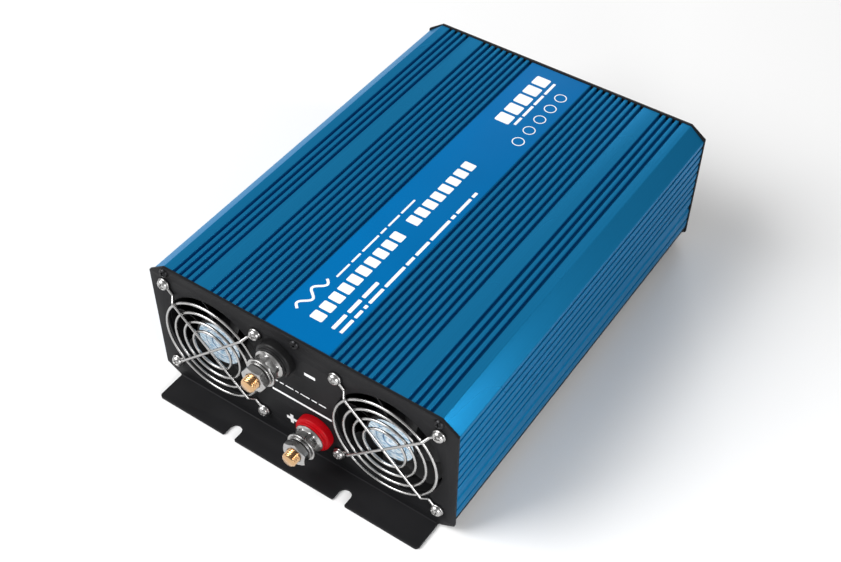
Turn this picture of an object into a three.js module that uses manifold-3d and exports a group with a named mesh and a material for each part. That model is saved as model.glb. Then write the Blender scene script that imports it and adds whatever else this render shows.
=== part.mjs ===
// A power inverter: a ribbed aluminium casing on a folded base tray, closed by two steel end plates with feet.
// The DC end carries two 80 mm fans and two terminal studs; the AC end carries the sockets and the switch.
// Millimetres, +Z up. The DC end faces -Y, the feet stand on Z = 0, and the bounding box is centred on X and Y.

import * as THREE from "three";
import { mergeVertices } from "three/addons/utils/BufferGeometryUtils.js";
import Module from "manifold-3d";

const wasm = await Module();
wasm.setup();

// Driving dimensions

const body = { width: 225, height: 102, length: 306 };
const corner = { across: 11.5, down: 8 };
const plate = { thick: 2, foot: 21.7, footHalf: 101, footRound: 2.5, bend: 3 };
const slot = { x: 43, width: 8.8, depth: 10.9 };
const plateScrew = { x: 100, z: 98, hole: 1.8, headRadius: 3.2, shank: 1.45, length: 11 };
const fit = 0.2;

const casing = { inset: 0.5, wall: 4, roof: 5, cornerWall: 5.2, lowerEdge: 14.3 };
const casingCorner = { across: 11, down: 9 };
const label = { half: 23.2, thick: 0.3 };
const roofGroove = { width: 2.4, depth: 3, pitch: 4.88 };
const innerGrooves = { first: 24.9, count: 9 };
const outerGrooves = { first: 78.6, count: 4 };
const sideGroove = { first: 87.9, count: 7, pitch: 7.38, width: 2.4, depth: 1.6 };
const sideBand = { top: 36, bottom: 30, depth: 0.8 };
const sideLine = { z: 21.3, width: 2.2, depth: 1.2 };
const tray = { sheet: 1.5, floor: 2.4, halfFlat: 101, lipTop: 26 };
const pillar = { x: 72, y: [-106, 3, 112], radius: 4, top: 11.8, pin: 1.5, pinTop: 15.5 };

const fan = { x: 65, z: 53, size: 80, depth: 25, bore: 38, screwPitch: 71.5 };
const rotor = { hub: 18, tip: 36.6, front: 0.8, depth: 16, blades: 7, shaft: 1.5 };
const guard = { wire: 0.9, rings: [36.4, 29.2, 22, 14.8], ringY: -3.3, spokeY: -4.8, eyelet: 3.4 };
const guardScrew = { headRadius: 3.9, head: 2.4, shank: 1.8, length: 16 };

const terminal = { reach: 28.7, shank: 5, hole: 8, acrossFlats: 16 };
const board = { halfWidth: 97, front: -115.5, rear: 122, bottom: 12, thick: 1.6 };

const socket = { x: [-76, -20], z: 47, faceRadius: 25.5, recess: 19.5, recessDepth: 12, back: 28 };
const rocker = { x: 48, z: 62, tilt: 10, half: 11.8, halfWidth: 9, pivotY: 1 };
const lamp = { x: 80, z: [74, 60], radius: 2.5 };
const usb = { x: 80, z: 34, width: 12.6, height: 5.2 };
const earth = { x: 48, z: 20, shank: 2.5, reach: 13 };
const vent = { first: -96, last: -6, pitch: 6, z: 84, width: 3, height: 12 };

// The DC studs reach further out than the feet, so the end faces sit a little towards +Y.
const frontFace = -(body.length + plate.foot - terminal.reach) / 2;
const rearFace = frontFace + body.length;
const casingFront = frontFace + plate.thick + fit;
const casingRear = rearFace - plate.thick - fit;
const halfWidth = body.width / 2;

// Solids

function solid(geometry) {
  geometry.deleteAttribute("normal");
  geometry.deleteAttribute("uv");
  const merged = mergeVertices(geometry, 1e-4);
  const triVerts = new Uint32Array(merged.index.array);
  const vertProperties = new Float32Array(merged.attributes.position.array);
  const mesh = new wasm.Manifold(new wasm.Mesh({ numProp: 3, vertProperties, triVerts }));
  if (mesh.volume() > 0) return mesh;
  for (let i = 0; i < triVerts.length; i += 3) {
    [triVerts[i], triVerts[i + 1]] = [triVerts[i + 1], triVerts[i]];
  }
  return new wasm.Manifold(new wasm.Mesh({ numProp: 3, vertProperties, triVerts }));
}

function geometryOf(manifold) {
  const mesh = manifold.getMesh();
  const geometry = new THREE.BufferGeometry();
  geometry.setAttribute("position", new THREE.BufferAttribute(new Float32Array(mesh.vertProperties), 3));
  geometry.setIndex(new THREE.BufferAttribute(new Uint32Array(mesh.triVerts), 1));
  geometry.computeVertexNormals();
  return geometry;
}

function union(pieces) {
  return pieces.reduce((whole, piece) => whole.add(piece));
}

// Cuts every piece of a list out of a solid.
function cut(whole, pieces) {
  return pieces.reduce((rest, piece) => rest.subtract(piece), whole);
}

function block(x0, x1, y0, y1, z0, z1) {
  const box = new THREE.BoxGeometry(x1 - x0, y1 - y0, z1 - z0);
  box.translate((x0 + x1) / 2, (y0 + y1) / 2, (z0 + z1) / 2);
  return solid(box);
}

// A prism along Y: the shape's x and y become X and Z.
function prismY(shape, y0, y1, segments = 12) {
  const geometry = new THREE.ExtrudeGeometry(shape, {
    depth: y1 - y0,
    bevelEnabled: false,
    curveSegments: segments,
  });
  geometry.rotateX(Math.PI / 2);
  geometry.translate(0, y1, 0);
  return solid(geometry);
}

// A prism along X: the shape's x and y become Y and Z.
function prismX(shape, x0, x1, segments = 4) {
  const geometry = new THREE.ExtrudeGeometry(shape, {
    depth: x1 - x0,
    bevelEnabled: false,
    curveSegments: segments,
  });
  geometry.rotateX(Math.PI / 2);
  geometry.rotateZ(Math.PI / 2);
  geometry.translate(x0, 0, 0);
  return solid(geometry);
}

// A prism along Z.
function prismZ(shape, z0, z1, segments = 12) {
  const geometry = new THREE.ExtrudeGeometry(shape, {
    depth: z1 - z0,
    bevelEnabled: false,
    curveSegments: segments,
  });
  geometry.translate(0, 0, z0);
  return solid(geometry);
}

// Round rods along Y, X and Z.
function rodY(radius, x, z, y0, y1, segments = 14) {
  const rod = new THREE.CylinderGeometry(radius, radius, y1 - y0, segments);
  rod.translate(x, (y0 + y1) / 2, z);
  return solid(rod);
}

function rodX(radius, x0, x1, y, z, segments = 12) {
  const rod = new THREE.CylinderGeometry(radius, radius, x1 - x0, segments);
  rod.rotateZ(Math.PI / 2);
  rod.translate((x0 + x1) / 2, y, z);
  return solid(rod);
}

function rodZ(radius, x, y, z0, z1, segments = 12) {
  const rod = new THREE.CylinderGeometry(radius, radius, z1 - z0, segments);
  rod.rotateX(Math.PI / 2);
  rod.translate(x, y, (z0 + z1) / 2);
  return solid(rod);
}

// A turned piece about the Y axis, from [radius, y] pairs that close on the axis or on themselves.
function turned(profile, segments = 18) {
  const points = profile.map(([radius, y]) => new THREE.Vector2(radius, y));
  return solid(new THREE.LatheGeometry(points, segments));
}

// A flat ring about the Y axis.
function ring(outer, inner, y0, y1, segments = 18) {
  return turned([[inner, y0], [outer, y0], [outer, y1], [inner, y1], [inner, y0]], segments);
}

function polygon(points) {
  return new THREE.Shape(points.map(([x, y]) => new THREE.Vector2(x, y)));
}

function roundedRectangle(x0, x1, y0, y1, radius) {
  const shape = new THREE.Shape();
  shape.moveTo(x0 + radius, y0);
  shape.lineTo(x1 - radius, y0);
  shape.absarc(x1 - radius, y0 + radius, radius, -Math.PI / 2, 0, false);
  shape.lineTo(x1, y1 - radius);
  shape.absarc(x1 - radius, y1 - radius, radius, 0, Math.PI / 2, false);
  shape.lineTo(x0 + radius, y1);
  shape.absarc(x0 + radius, y1 - radius, radius, Math.PI / 2, Math.PI, false);
  shape.lineTo(x0, y0 + radius);
  shape.absarc(x0 + radius, y0 + radius, radius, Math.PI, 1.5 * Math.PI, false);
  return shape;
}

function regularPolygon(sides, radius) {
  const angles = Array.from({ length: sides }, (_, i) => (i * 2 * Math.PI) / sides);
  return polygon(angles.map((angle) => [radius * Math.cos(angle), radius * Math.sin(angle)]));
}

function hexagon(acrossFlats) {
  return regularPolygon(6, acrossFlats / Math.sqrt(3));
}

// Every hole of a plate, as rods through it.
function holes(radius, centres, segments = 14) {
  return centres.map(([x, z]) => rodY(radius, x, z, -1, plate.thick + 1, segments));
}

// Materials

function finish(color, roughness, metalness) {
  return () => new THREE.MeshStandardMaterial({ color, roughness, metalness });
}

const blueAluminium = finish(0x1f5f98, 0.38, 0.7);
const blackPaint = finish(0x232427, 0.55, 0.2);
const labelFilm = finish(0x0a72c4, 0.45, 0);
const blackPlastic = finish(0x151517, 0.5, 0);
const redPlastic = finish(0xb3161f, 0.4, 0);
const brightSteel = finish(0xc6c8ca, 0.25, 0.95);
const blackSteel = finish(0x1b1b1c, 0.4, 0.7);
const brass = finish(0xc08a55, 0.3, 0.9);
const copper = finish(0xb56a42, 0.35, 0.9);
const bareAluminium = finish(0xb4b8bc, 0.4, 0.85);
const boardGreen = finish(0x1d5a3a, 0.5, 0);
const ferrite = finish(0x3a3a3d, 0.7, 0.1);
const coilCopper = finish(0x9c5b36, 0.4, 0.6);
const sleeveBlue = finish(0x20325a, 0.4, 0);
const greenLens = finish(0x2fbf55, 0.15, 0);
const redLens = finish(0xd02c2c, 0.15, 0);

const inverter = new THREE.Group();
inverter.name = "power_inverter";

// The DC end's pieces are placed from the front plate's outer face, with outwards as -Y.
const dcEnd = new THREE.Group();
dcEnd.position.y = frontFace;
inverter.add(dcEnd);

// The AC end is the same, turned half round, so its local x runs against the inverter's X.
const acEnd = new THREE.Group();
acEnd.position.y = rearFace;
acEnd.rotation.z = Math.PI;
inverter.add(acEnd);

function add(group, name, shape, material, x = 0, y = 0, z = 0) {
  const mesh = new THREE.Mesh(geometryOf(shape), material());
  mesh.name = name;
  mesh.position.set(x, y, z);
  group.add(mesh);
  return mesh;
}

// Casing

// Points of a groove across a flat face, met while running along the face.
function grooveAcrossRoof(x, z) {
  const half = roofGroove.width / 2;
  const foot = half - 0.35;
  const low = z - roofGroove.depth;
  return [[x - half, z], [x - foot, low], [x + foot, low], [x + half, z]];
}

function grooveDownSide(x, z, width, depth) {
  const half = width / 2;
  const foot = half - 0.25;
  return [[x, z + half], [x - depth, z + foot], [x - depth, z - foot], [x, z - half]];
}

// The right half of the casing's section, from the top centre down to the lower edge and back inside.
function casingHalf() {
  const side = halfWidth - casing.inset;
  const top = body.height - casing.inset;
  const points = [[0, top - label.thick], [label.half + fit, top - label.thick], [label.half + fit, top]];
  for (let i = 0; i < innerGrooves.count; i += 1) {
    points.push(...grooveAcrossRoof(innerGrooves.first + i * roofGroove.pitch, top));
  }
  for (let i = 0; i < outerGrooves.count; i += 1) {
    points.push(...grooveAcrossRoof(outerGrooves.first + i * roofGroove.pitch, top));
  }
  points.push([side - casingCorner.across, top], [side, top - casingCorner.down]);
  for (let i = 0; i < sideGroove.count; i += 1) {
    const z = sideGroove.first - i * sideGroove.pitch;
    points.push(...grooveDownSide(side, z, sideGroove.width, sideGroove.depth));
  }
  points.push([side, sideBand.top], [side - sideBand.depth, sideBand.top - sideBand.depth]);
  points.push([side - sideBand.depth, sideBand.bottom + sideBand.depth], [side, sideBand.bottom]);
  points.push(...grooveDownSide(side, sideLine.z, sideLine.width, sideLine.depth));
  points.push([side, casing.lowerEdge], [side - casing.wall, casing.lowerEdge]);
  // The slanted inner face runs parallel to the outer corner.
  const { across, down } = casingCorner;
  const offset = casing.cornerWall * Math.hypot(across, down);
  const wallTop = top - (offset + down * (across - casing.wall)) / across;
  const roofEnd = side - across + (across * casing.roof - offset) / down;
  points.push([side - casing.wall, wallTop], [roofEnd, top - casing.roof]);
  return points;
}

function topCasing() {
  const right = casingHalf();
  const left = right.slice(1).reverse().map(([x, z]) => [-x, z]);
  const roofUnderside = [[0, body.height - casing.inset - casing.roof]];
  const shell = prismY(polygon([...right, ...roofUnderside, ...left]), casingFront, casingRear);
  const screwHoles = [];
  for (const x of [-plateScrew.x, 0, plateScrew.x]) {
    const depth = plateScrew.length + 2;
    screwHoles.push(rodY(plateScrew.hole, x, plateScrew.z, casingFront - 1, casingFront + depth, 8));
    screwHoles.push(rodY(plateScrew.hole, x, plateScrew.z, casingRear - depth, casingRear + 1, 8));
  }
  return cut(shell, screwHoles);
}

// The tray's floor, its slanted corners and the lip that stands inside the casing's walls.
function baseTray() {
  const outer = halfWidth - casing.inset;
  const lip = outer - casing.wall - fit;
  const ledge = casing.lowerEdge - fit;
  const rise = 9.1;
  const sheet = tray.sheet;
  const right = [
    [tray.halfFlat, tray.floor],
    [outer, tray.floor + rise],
    [outer, ledge],
    [lip, ledge],
    [lip, tray.lipTop],
    [lip - sheet, tray.lipTop],
    [lip - sheet, ledge - sheet],
    [outer - sheet, ledge - sheet],
    [outer - sheet, tray.floor + rise + 0.6],
    [tray.halfFlat - 0.6, tray.floor + sheet],
  ];
  const left = right.slice().reverse().map(([x, z]) => [-x, z]);
  const sheetMetal = prismY(polygon([...right, ...left]), casingFront, casingRear);
  const pillars = [];
  for (const x of [-pillar.x, pillar.x]) {
    for (const y of pillar.y) {
      pillars.push(rodZ(pillar.radius, x, y, tray.floor + 0.5, pillar.top, 12));
      pillars.push(rodZ(pillar.pin, x, y, pillar.top - 1, pillar.pinTop, 8));
    }
  }
  return union([sheetMetal, ...pillars]);
}

const labelTop = body.height - casing.inset;
add(inverter, "top_casing", topCasing(), blueAluminium);
add(inverter, "base_tray", baseTray(), blackPaint);
const labelFilmSolid = block(-label.half, label.half, casingFront + 0.5, casingRear - 0.5,
  labelTop - label.thick + 0.02, labelTop);
add(inverter, "top_label", labelFilmSolid, labelFilm);

// End plates

function plateOutline() {
  const low = plate.bend;
  const lowHalf = halfWidth - corner.across * (1 - low / corner.down);
  const right = [
    [halfWidth - corner.across, body.height],
    [halfWidth, body.height - corner.down],
    [halfWidth, corner.down],
    [lowHalf, low],
  ];
  const left = right.slice().reverse().map(([x, z]) => [-x, z]);
  return polygon([...right, ...left]);
}

// The foot's section: up the plate, round the bend and out along the floor.
function footSection() {
  const { thick, foot, bend } = plate;
  const inner = bend - thick;
  const shape = new THREE.Shape();
  shape.moveTo(-foot, 0);
  shape.lineTo(thick - bend, 0);
  shape.absarc(thick - bend, bend, bend, -Math.PI / 2, 0, false);
  shape.lineTo(thick, bend + 5);
  shape.lineTo(0, bend + 5);
  shape.lineTo(0, bend);
  shape.absarc(-inner, bend, inner, 0, -Math.PI / 2, true);
  shape.lineTo(-foot, thick);
  return shape;
}

// The foot seen from above: rounded outer corners and two slots open at the outer edge.
function footOutline() {
  const { foot, footHalf, footRound, thick } = plate;
  const radius = slot.width / 2;
  const slotEnd = -foot + slot.depth - radius;
  const shape = new THREE.Shape();
  shape.moveTo(footHalf, thick + 1);
  shape.lineTo(-footHalf, thick + 1);
  shape.lineTo(-footHalf, -foot + footRound);
  shape.absarc(-footHalf + footRound, -foot + footRound, footRound, Math.PI, 1.5 * Math.PI, false);
  for (const x of [-slot.x, slot.x]) {
    shape.lineTo(x - radius, -foot);
    shape.lineTo(x - radius, slotEnd);
    shape.absarc(x, slotEnd, radius, Math.PI, 0, true);
    shape.lineTo(x + radius, -foot);
  }
  shape.lineTo(footHalf - footRound, -foot);
  shape.absarc(footHalf - footRound, -foot + footRound, footRound, -Math.PI / 2, 0, false);
  return shape;
}

function endPlate(openings) {
  const wall = prismY(plateOutline(), 0, plate.thick);
  const fold = prismX(footSection(), -plate.footHalf, plate.footHalf);
  const foot = fold.intersect(prismZ(footOutline(), -1, plate.bend + 6, 5));
  const screws = [-plateScrew.x, 0, plateScrew.x].map((x) => [x, plateScrew.z]);
  return cut(wall.add(foot), [...holes(plateScrew.hole, screws, 8), ...openings]);
}

// The four screw places round a fan's centre.
function fanCorners(x) {
  const half = fan.screwPitch / 2;
  return [[x - half, fan.z + half], [x + half, fan.z + half], [x + half, fan.z - half], [x - half, fan.z - half]];
}

const terminals = [
  { name: "negative", x: -14, z: 78.5, material: blackPlastic },
  { name: "positive", x: 12, z: 26.8, material: redPlastic },
];

function frontOpenings() {
  const openings = holes(fan.bore, [[-fan.x, fan.z], [fan.x, fan.z]], 28);
  openings.push(...holes(2.3, [...fanCorners(-fan.x), ...fanCorners(fan.x)], 8));
  openings.push(...holes(terminal.hole, terminals.map(({ x, z }) => [x, z]), 16));
  return openings;
}

function rearOpenings() {
  const openings = holes(22.8, socket.x.map((x) => [x, socket.z]), 24);
  openings.push(block(rocker.x - 11, rocker.x + 11, -1, 3, rocker.z - 14.2, rocker.z + 14.2));
  openings.push(...holes(lamp.radius + fit, lamp.z.map((z) => [lamp.x, z]), 16));
  openings.push(block(usb.x - 7.4, usb.x + 7.4, -1, 3, usb.z - 3.8, usb.z + 3.8));
  openings.push(...holes(earth.shank + 0.3, [[earth.x, earth.z]], 10));
  for (let x = vent.first; x <= vent.last; x += vent.pitch) {
    const half = vent.width / 2;
    openings.push(block(x - half, x + half, -1, 3, vent.z - vent.height / 2, vent.z + vent.height / 2));
  }
  return openings;
}

// A pan-headed screw along Y: the head outside y = 0, the shank inside.
function panScrew(headRadius, head, shank, length) {
  const profile = [
    [0, -head],
    [headRadius * 0.75, -head * 0.85],
    [headRadius, 0],
    [shank, 0],
    [shank, length],
    [0, length],
  ];
  return turned(profile, 10);
}

add(dcEnd, "front_plate", endPlate(frontOpenings()), blackPaint);
add(acEnd, "rear_plate", endPlate(rearOpenings()), blackPaint);
for (const [end, group] of [["front", dcEnd], ["rear", acEnd]]) {
  [-1, 0, 1].forEach((side, i) => {
    const screw = panScrew(plateScrew.headRadius, 2, plateScrew.shank, plateScrew.length);
    add(group, `${end}_plate_screw_${i + 1}`, screw, blackSteel, side * plateScrew.x, -0.02, plateScrew.z);
  });
}

// Fans: every piece is built about the fan's own axis and behind the plate's outer face

const fanFront = plate.thick + fit;
const fanBack = fanFront + fan.depth;

function fanFrame() {
  const half = fan.size / 2;
  const housing = prismY(roundedRectangle(-half, half, -half, half, 4), fanFront, fanBack, 3);
  const bore = rodY(fan.bore, 0, 0, fanFront - 1, fanBack + 1, 32);
  const struts = [0, 1, 2, 3].map((i) => {
    const strut = new THREE.BoxGeometry(fan.bore + 1, 3, 3.5);
    strut.translate((fan.bore + 1) / 2, fanBack - 1.5, 0);
    strut.rotateY((i * Math.PI) / 2);
    return solid(strut);
  });
  const motorBase = ring(17, rotor.shaft + fit, fanBack - 4, fanBack, 12);
  const bearingTube = ring(4.5, rotor.shaft + fit, fanFront + rotor.front + 4, fanBack - 3.5, 12);
  const frame = cut(housing, [bore]);
  const screwPlaces = fanCorners(0).map(([x, z]) => rodY(2.2, x, z - fan.z, fanFront - 1, fanBack + 1, 8));
  const spokes = cut(union(struts), [rodY(rotor.shaft + 2, 0, 0, 0, fanBack + 1)]);
  return cut(union([frame, motorBase, spokes, bearingTube]), screwPlaces);
}

// One blade: a curved, slanted strip drawn in the tangent plane and run out from the hub to the tip.
function blade() {
  const chord = rotor.depth - 1;
  const steps = 3;
  const upper = [];
  const lower = [];
  for (let i = 0; i <= steps; i += 1) {
    const along = i / steps;
    const across = 11 * along + 3.2 * Math.sin(Math.PI * along);
    upper.push([across - 7, along * chord]);
    lower.unshift([across - 5.6, along * chord]);
  }
  const geometry = new THREE.ExtrudeGeometry(polygon([...upper, ...lower]), {
    depth: rotor.tip - rotor.hub + 1.5,
    bevelEnabled: false,
  });
  geometry.translate(0, fanFront + rotor.front + 0.5, rotor.hub - 1.5);
  return geometry;
}

function fanRotor() {
  const front = fanFront + rotor.front;
  const back = front + rotor.depth;
  const wall = 1.5;
  const cup = turned([
    [0, front],
    [rotor.hub - 1.5, front],
    [rotor.hub, front + 1.5],
    [rotor.hub, back],
    [rotor.hub - wall, back],
    [rotor.hub - wall, front + wall],
    [rotor.shaft, front + wall],
    [rotor.shaft, fanBack - 1],
    [0, fanBack - 1],
  ], 20);
  const blades = [];
  for (let i = 0; i < rotor.blades; i += 1) {
    const geometry = blade();
    geometry.rotateY((i * 2 * Math.PI) / rotor.blades);
    blades.push(solid(geometry));
  }
  const insideCup = rodY(rotor.hub - wall, 0, 0, front + wall, back + 1, 20);
  const tipCircle = rodY(rotor.tip, 0, 0, front, back, 32);
  return union([cut(union(blades).intersect(tipCircle), [insideCup]), cup]);
}

function wireRing(radius, x, y, z, around, across) {
  const torus = new THREE.TorusGeometry(radius, guard.wire, across, around);
  torus.rotateX(Math.PI / 2);
  torus.translate(x, y, z);
  return solid(torus);
}

// A leg runs over the rings from the middle, then steps down to its eyelet on the plate.
function guardSpoke(angle) {
  const reach = (fan.screwPitch / 2) * Math.SQRT2;
  const flat = guard.rings[0] + 1.5;
  const points = [
    new THREE.Vector3(-guard.wire, guard.spokeY, 0),
    new THREE.Vector3(flat, guard.spokeY, 0),
    new THREE.Vector3(flat + 4, -guard.wire - 0.05, 0),
    new THREE.Vector3(reach - guard.eyelet, -guard.wire - 0.05, 0),
  ];
  const path = new THREE.CurvePath();
  for (let i = 1; i < points.length; i += 1) {
    path.add(new THREE.LineCurve3(points[i - 1], points[i]));
  }
  const wire = regularPolygon(5, guard.wire);
  const geometry = new THREE.ExtrudeGeometry(wire, { steps: 8, extrudePath: path });
  geometry.rotateY(angle);
  return solid(geometry);
}

function fingerGuard() {
  const rings = guard.rings.map((radius) => wireRing(radius, 0, guard.ringY, 0, Math.round(radius / 2 + 7), 5));
  const spokes = [45, 135, 225, 315].map((degrees) => guardSpoke((degrees * Math.PI) / 180));
  const eyelets = fanCorners(0).map(([x, z]) => wireRing(guard.eyelet, x, -guard.wire - 0.05, z - fan.z, 9, 5));
  return union([...rings, ...spokes, ...eyelets]);
}

for (const [side, x] of [["left", -fan.x], ["right", fan.x]]) {
  add(dcEnd, `fan_frame_${side}`, fanFrame(), blackPlastic, x, 0, fan.z);
  add(dcEnd, `fan_rotor_${side}`, fanRotor(), blackPlastic, x, 0, fan.z);
  add(dcEnd, `fan_guard_${side}`, fingerGuard(), brightSteel, x, 0, fan.z);
  fanCorners(x).forEach(([screwX, screwZ], i) => {
    const screw = panScrew(guardScrew.headRadius, guardScrew.head, guardScrew.shank, guardScrew.length);
    add(dcEnd, `fan_screw_${side}_${i + 1}`, screw, brightSteel, screwX, -2 * guard.wire - 0.1, screwZ);
  });
}

// Terminals: each stack is named from the plate outwards

function hexNut(acrossFlats, y0, y1, bore, flange = 0) {
  const hex = prismY(hexagon(acrossFlats), y0, y1);
  const corners = acrossFlats / Math.sqrt(3);
  const faceRadius = corners - 0.55;
  const bevel = turned([
    [0, y0],
    [faceRadius, y0],
    [corners + 0.2, y0 + 0.75],
    [corners + 0.2, y1 - 0.75],
    [flange ? corners + 0.2 : faceRadius, y1],
    [0, y1],
  ]);
  const nut = hex.intersect(bevel);
  const whole = flange ? nut.add(rodY(flange, 0, 0, y1 - 1.5, y1, 18)) : nut;
  return cut(whole, [rodY(bore, 0, 0, y0 - 1, y1 + 1, 20)]);
}

function springWasher(outer, inner, y0, y1) {
  const slit = block(0, outer + 1, y0 - 1, y1 + 1, -0.6, 0.6);
  return cut(ring(outer, inner, y0, y1), [slit]);
}

function terminalInsulator() {
  const bore = terminal.shank + 0.2;
  return turned([
    [bore, -7.5],
    [11, -7.5],
    [11, -5.5],
    [12.8, -5],
    [12.8, -0.02],
    [terminal.hole - 0.3, -0.02],
    [terminal.hole - 0.3, plate.thick],
    [bore, plate.thick],
    [bore, -7.5],
  ], 20);
}

// A brass bolt: its hexagon head holds the busbar inside, and its shank is the stud outside.
function terminalStud() {
  const { shank, reach, acrossFlats } = terminal;
  const rod = turned([
    [0, -reach],
    [shank - 0.8, -reach],
    [shank, -reach + 0.8],
    [shank, 8],
    [0, 8],
  ], 14);
  return rod.add(prismY(hexagon(acrossFlats), 7.7, 13));
}

// A copper strip from the stud's inner end down to a foot soldered on the board.
function busbar(x, z) {
  const footTop = board.bottom + board.thick + 2.05;
  const half = 8.5;
  const tab = block(x - half, x + half, 5.5, 7.5, footTop - 2, z + 8.5);
  const foot = block(x - half, x + half, 5.5, board.front - frontFace + 14, footTop - 2, footTop);
  return cut(tab.add(foot), [rodY(terminal.shank + 0.2, x, z, 5, 9)]);
}

const washer = { flat: [-16.2, -14.5], spring: [-18.1, -16.3] };
for (const { name, x, z, material } of terminals) {
  const bore = terminal.shank + 0.15;
  add(dcEnd, `${name}_insulator`, terminalInsulator(), material, x, 0, z);
  add(dcEnd, `${name}_inner_insulator`, ring(10.5, bore, plate.thick + 0.1, 5.4), material, x, 0, z);
  add(dcEnd, `${name}_busbar`, busbar(x, z), copper);
  add(dcEnd, `${name}_stud`, terminalStud(), brass, x, 0, z);
  add(dcEnd, `${name}_clamp_nut`, hexNut(terminal.acrossFlats, -14.4, -7.6, bore, 10.2), brightSteel, x, 0, z);
  add(dcEnd, `${name}_flat_washer`, ring(10.2, bore, ...washer.flat), brightSteel, x, 0, z);
  add(dcEnd, `${name}_spring_washer`, springWasher(8.8, bore, ...washer.spring), brightSteel, x, 0, z);
  add(dcEnd, `${name}_cable_nut`, hexNut(terminal.acrossFlats, -23.2, -18.2, bore), brightSteel, x, 0, z);
}

// Board and the large parts that stand on it

const boardTop = board.bottom + board.thick + 0.05;

// The board with its soldered row of blade fuses and its upright control card.
function mainBoard() {
  const { halfWidth: half, front, rear, bottom, thick } = board;
  const sheet = block(-half, half, front, rear, bottom, bottom + thick);
  const parts = [];
  for (let x = -70; x <= 70; x += 20) {
    parts.push(block(x - 7, x + 7, front + 19, front + 24, bottom + 1, bottom + 15));
  }
  parts.push(block(-30, 40, rear - 22, rear - 20.4, bottom + 1, bottom + 42));
  const places = [];
  for (const x of [-pillar.x, pillar.x]) {
    for (const y of pillar.y) {
      places.push(rodZ(pillar.pin + 0.3, x, y, bottom - 1, bottom + thick + 1, 8));
    }
  }
  return cut(union([sheet, ...parts]), places);
}

// A finned bar with the row of power transistors clamped to its flat face, built for the +X side.
function heatsink(side) {
  const spineX = 82;
  const points = [[spineX, boardTop], [103, boardTop]];
  for (let i = 0; i < 7; i += 1) {
    const z = boardTop + 2 + i * 9;
    points.push([103, z], [spineX + 4, z]);
    points.push([spineX + 4, z + 7], [103, z + 7]);
  }
  points.push([103, boardTop + 66], [spineX, boardTop + 66]);
  const bar = prismY(polygon(points), -85, 95);
  const transistors = [];
  for (let y = -70; y <= 80; y += 25) {
    transistors.push(block(spineX - 4.8, spineX + 1, y - 5, y + 5, boardTop + 12, boardTop + 28));
  }
  const whole = union([bar, ...transistors]);
  return side < 0 ? whole.mirror([1, 0, 0]) : whole;
}

// A ferrite core with two windows and the coil wound on its middle leg.
function transformer() {
  const core = block(-24, 24, -9, 9, 0, 42);
  const windows = [block(-16, -8, -10, 10, 8, 34), block(8, 16, -10, 10, 8, 34)];
  const coil = prismZ(roundedRectangle(-15, 15, -17, 17, 6), 9, 33, 3);
  return cut(core, windows).add(coil);
}

function canCapacitor(radius, height) {
  const can = turned([
    [0, 0],
    [radius - 0.6, 0],
    [radius, 0.8],
    [radius, 4],
    [radius - 0.9, 5],
    [radius, 6],
    [radius, height - 0.8],
    [radius - 0.8, height],
    [0, height],
  ], 16);
  return can.rotate([90, 0, 0]);
}

function toroidChoke() {
  const torus = new THREE.TorusGeometry(18, 9, 8, 16);
  torus.translate(0, 0, 9);
  return solid(torus);
}

add(inverter, "main_board", mainBoard(), boardGreen);
add(inverter, "heatsink_left", heatsink(-1), bareAluminium);
add(inverter, "heatsink_right", heatsink(1), bareAluminium);
[-62, -6, 50].forEach((y, i) => {
  add(inverter, `transformer_${i + 1}`, transformer(), i === 2 ? ferrite : coilCopper, -42, y, boardTop);
});
add(inverter, "input_capacitor_1", canCapacitor(11, 40), sleeveBlue, 16, -72, boardTop);
add(inverter, "input_capacitor_2", canCapacitor(11, 40), sleeveBlue, 46, -72, boardTop);
add(inverter, "output_capacitor", canCapacitor(17, 50), sleeveBlue, 36, -16, boardTop);
add(inverter, "output_choke", toroidChoke(), coilCopper, 36, 50, boardTop);

// AC end

// A round two-pole outlet: a face ring outside, a deep recess and two pin holes in its floor.
function outlet() {
  const { faceRadius, recess, recessDepth, back } = socket;
  const cup = turned([
    [0, recessDepth],
    [recess, recessDepth],
    [recess, -2],
    [recess + 1.2, -3],
    [faceRadius - 1, -3],
    [faceRadius, -2],
    [faceRadius, -0.02],
    [22.6, -0.02],
    [22.6, back],
    [0, back],
  ], 24);
  const pinHoles = [-9.5, 9.5].map((x) => rodY(2.6, x, 0, recessDepth - 1, back - 4, 10));
  return cut(cup, pinHoles);
}

function switchHousing() {
  const bezel = prismY(roundedRectangle(-12.4, 12.4, -15.6, 15.6, 1.5), -2, -0.02, 3);
  const case_ = block(-10.8, 10.8, -0.5, 20, -14, 14);
  const well = block(-9.3, 9.3, -3, 12, -12.8, 12.8);
  const bearings = rodX(1.8, -12, 12, rocker.pivotY, 0).intersect(block(-10.9, 10.9, -5, 5, -5, 5));
  return cut(bezel.add(case_), [well, bearings]);
}

// The rocker is built about its pivot; its two faces meet in a shallow valley.
function switchRocker() {
  const { half, halfWidth: wide, pivotY } = rocker;
  const outside = (height) => -height - pivotY;
  const profile = polygon([
    [outside(5), -half],
    [outside(4), 0],
    [outside(5), half],
    [outside(-0.5), half],
    [outside(-5), 6],
    [outside(-5), -6],
    [outside(-0.5), -half],
  ]);
  return prismX(profile, -wide, wide).add(rodX(1.5, -10.5, 10.5, 0, 0));
}

function indicatorLamp() {
  const { radius } = lamp;
  return turned([
    [0, -3.4],
    [radius * 0.6, -3],
    [radius, -1.8],
    [radius, -1],
    [radius + 1.2, -1],
    [radius + 1.2, -0.02],
    [radius, -0.02],
    [radius, 9],
    [0, 9],
  ], 12);
}

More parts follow.
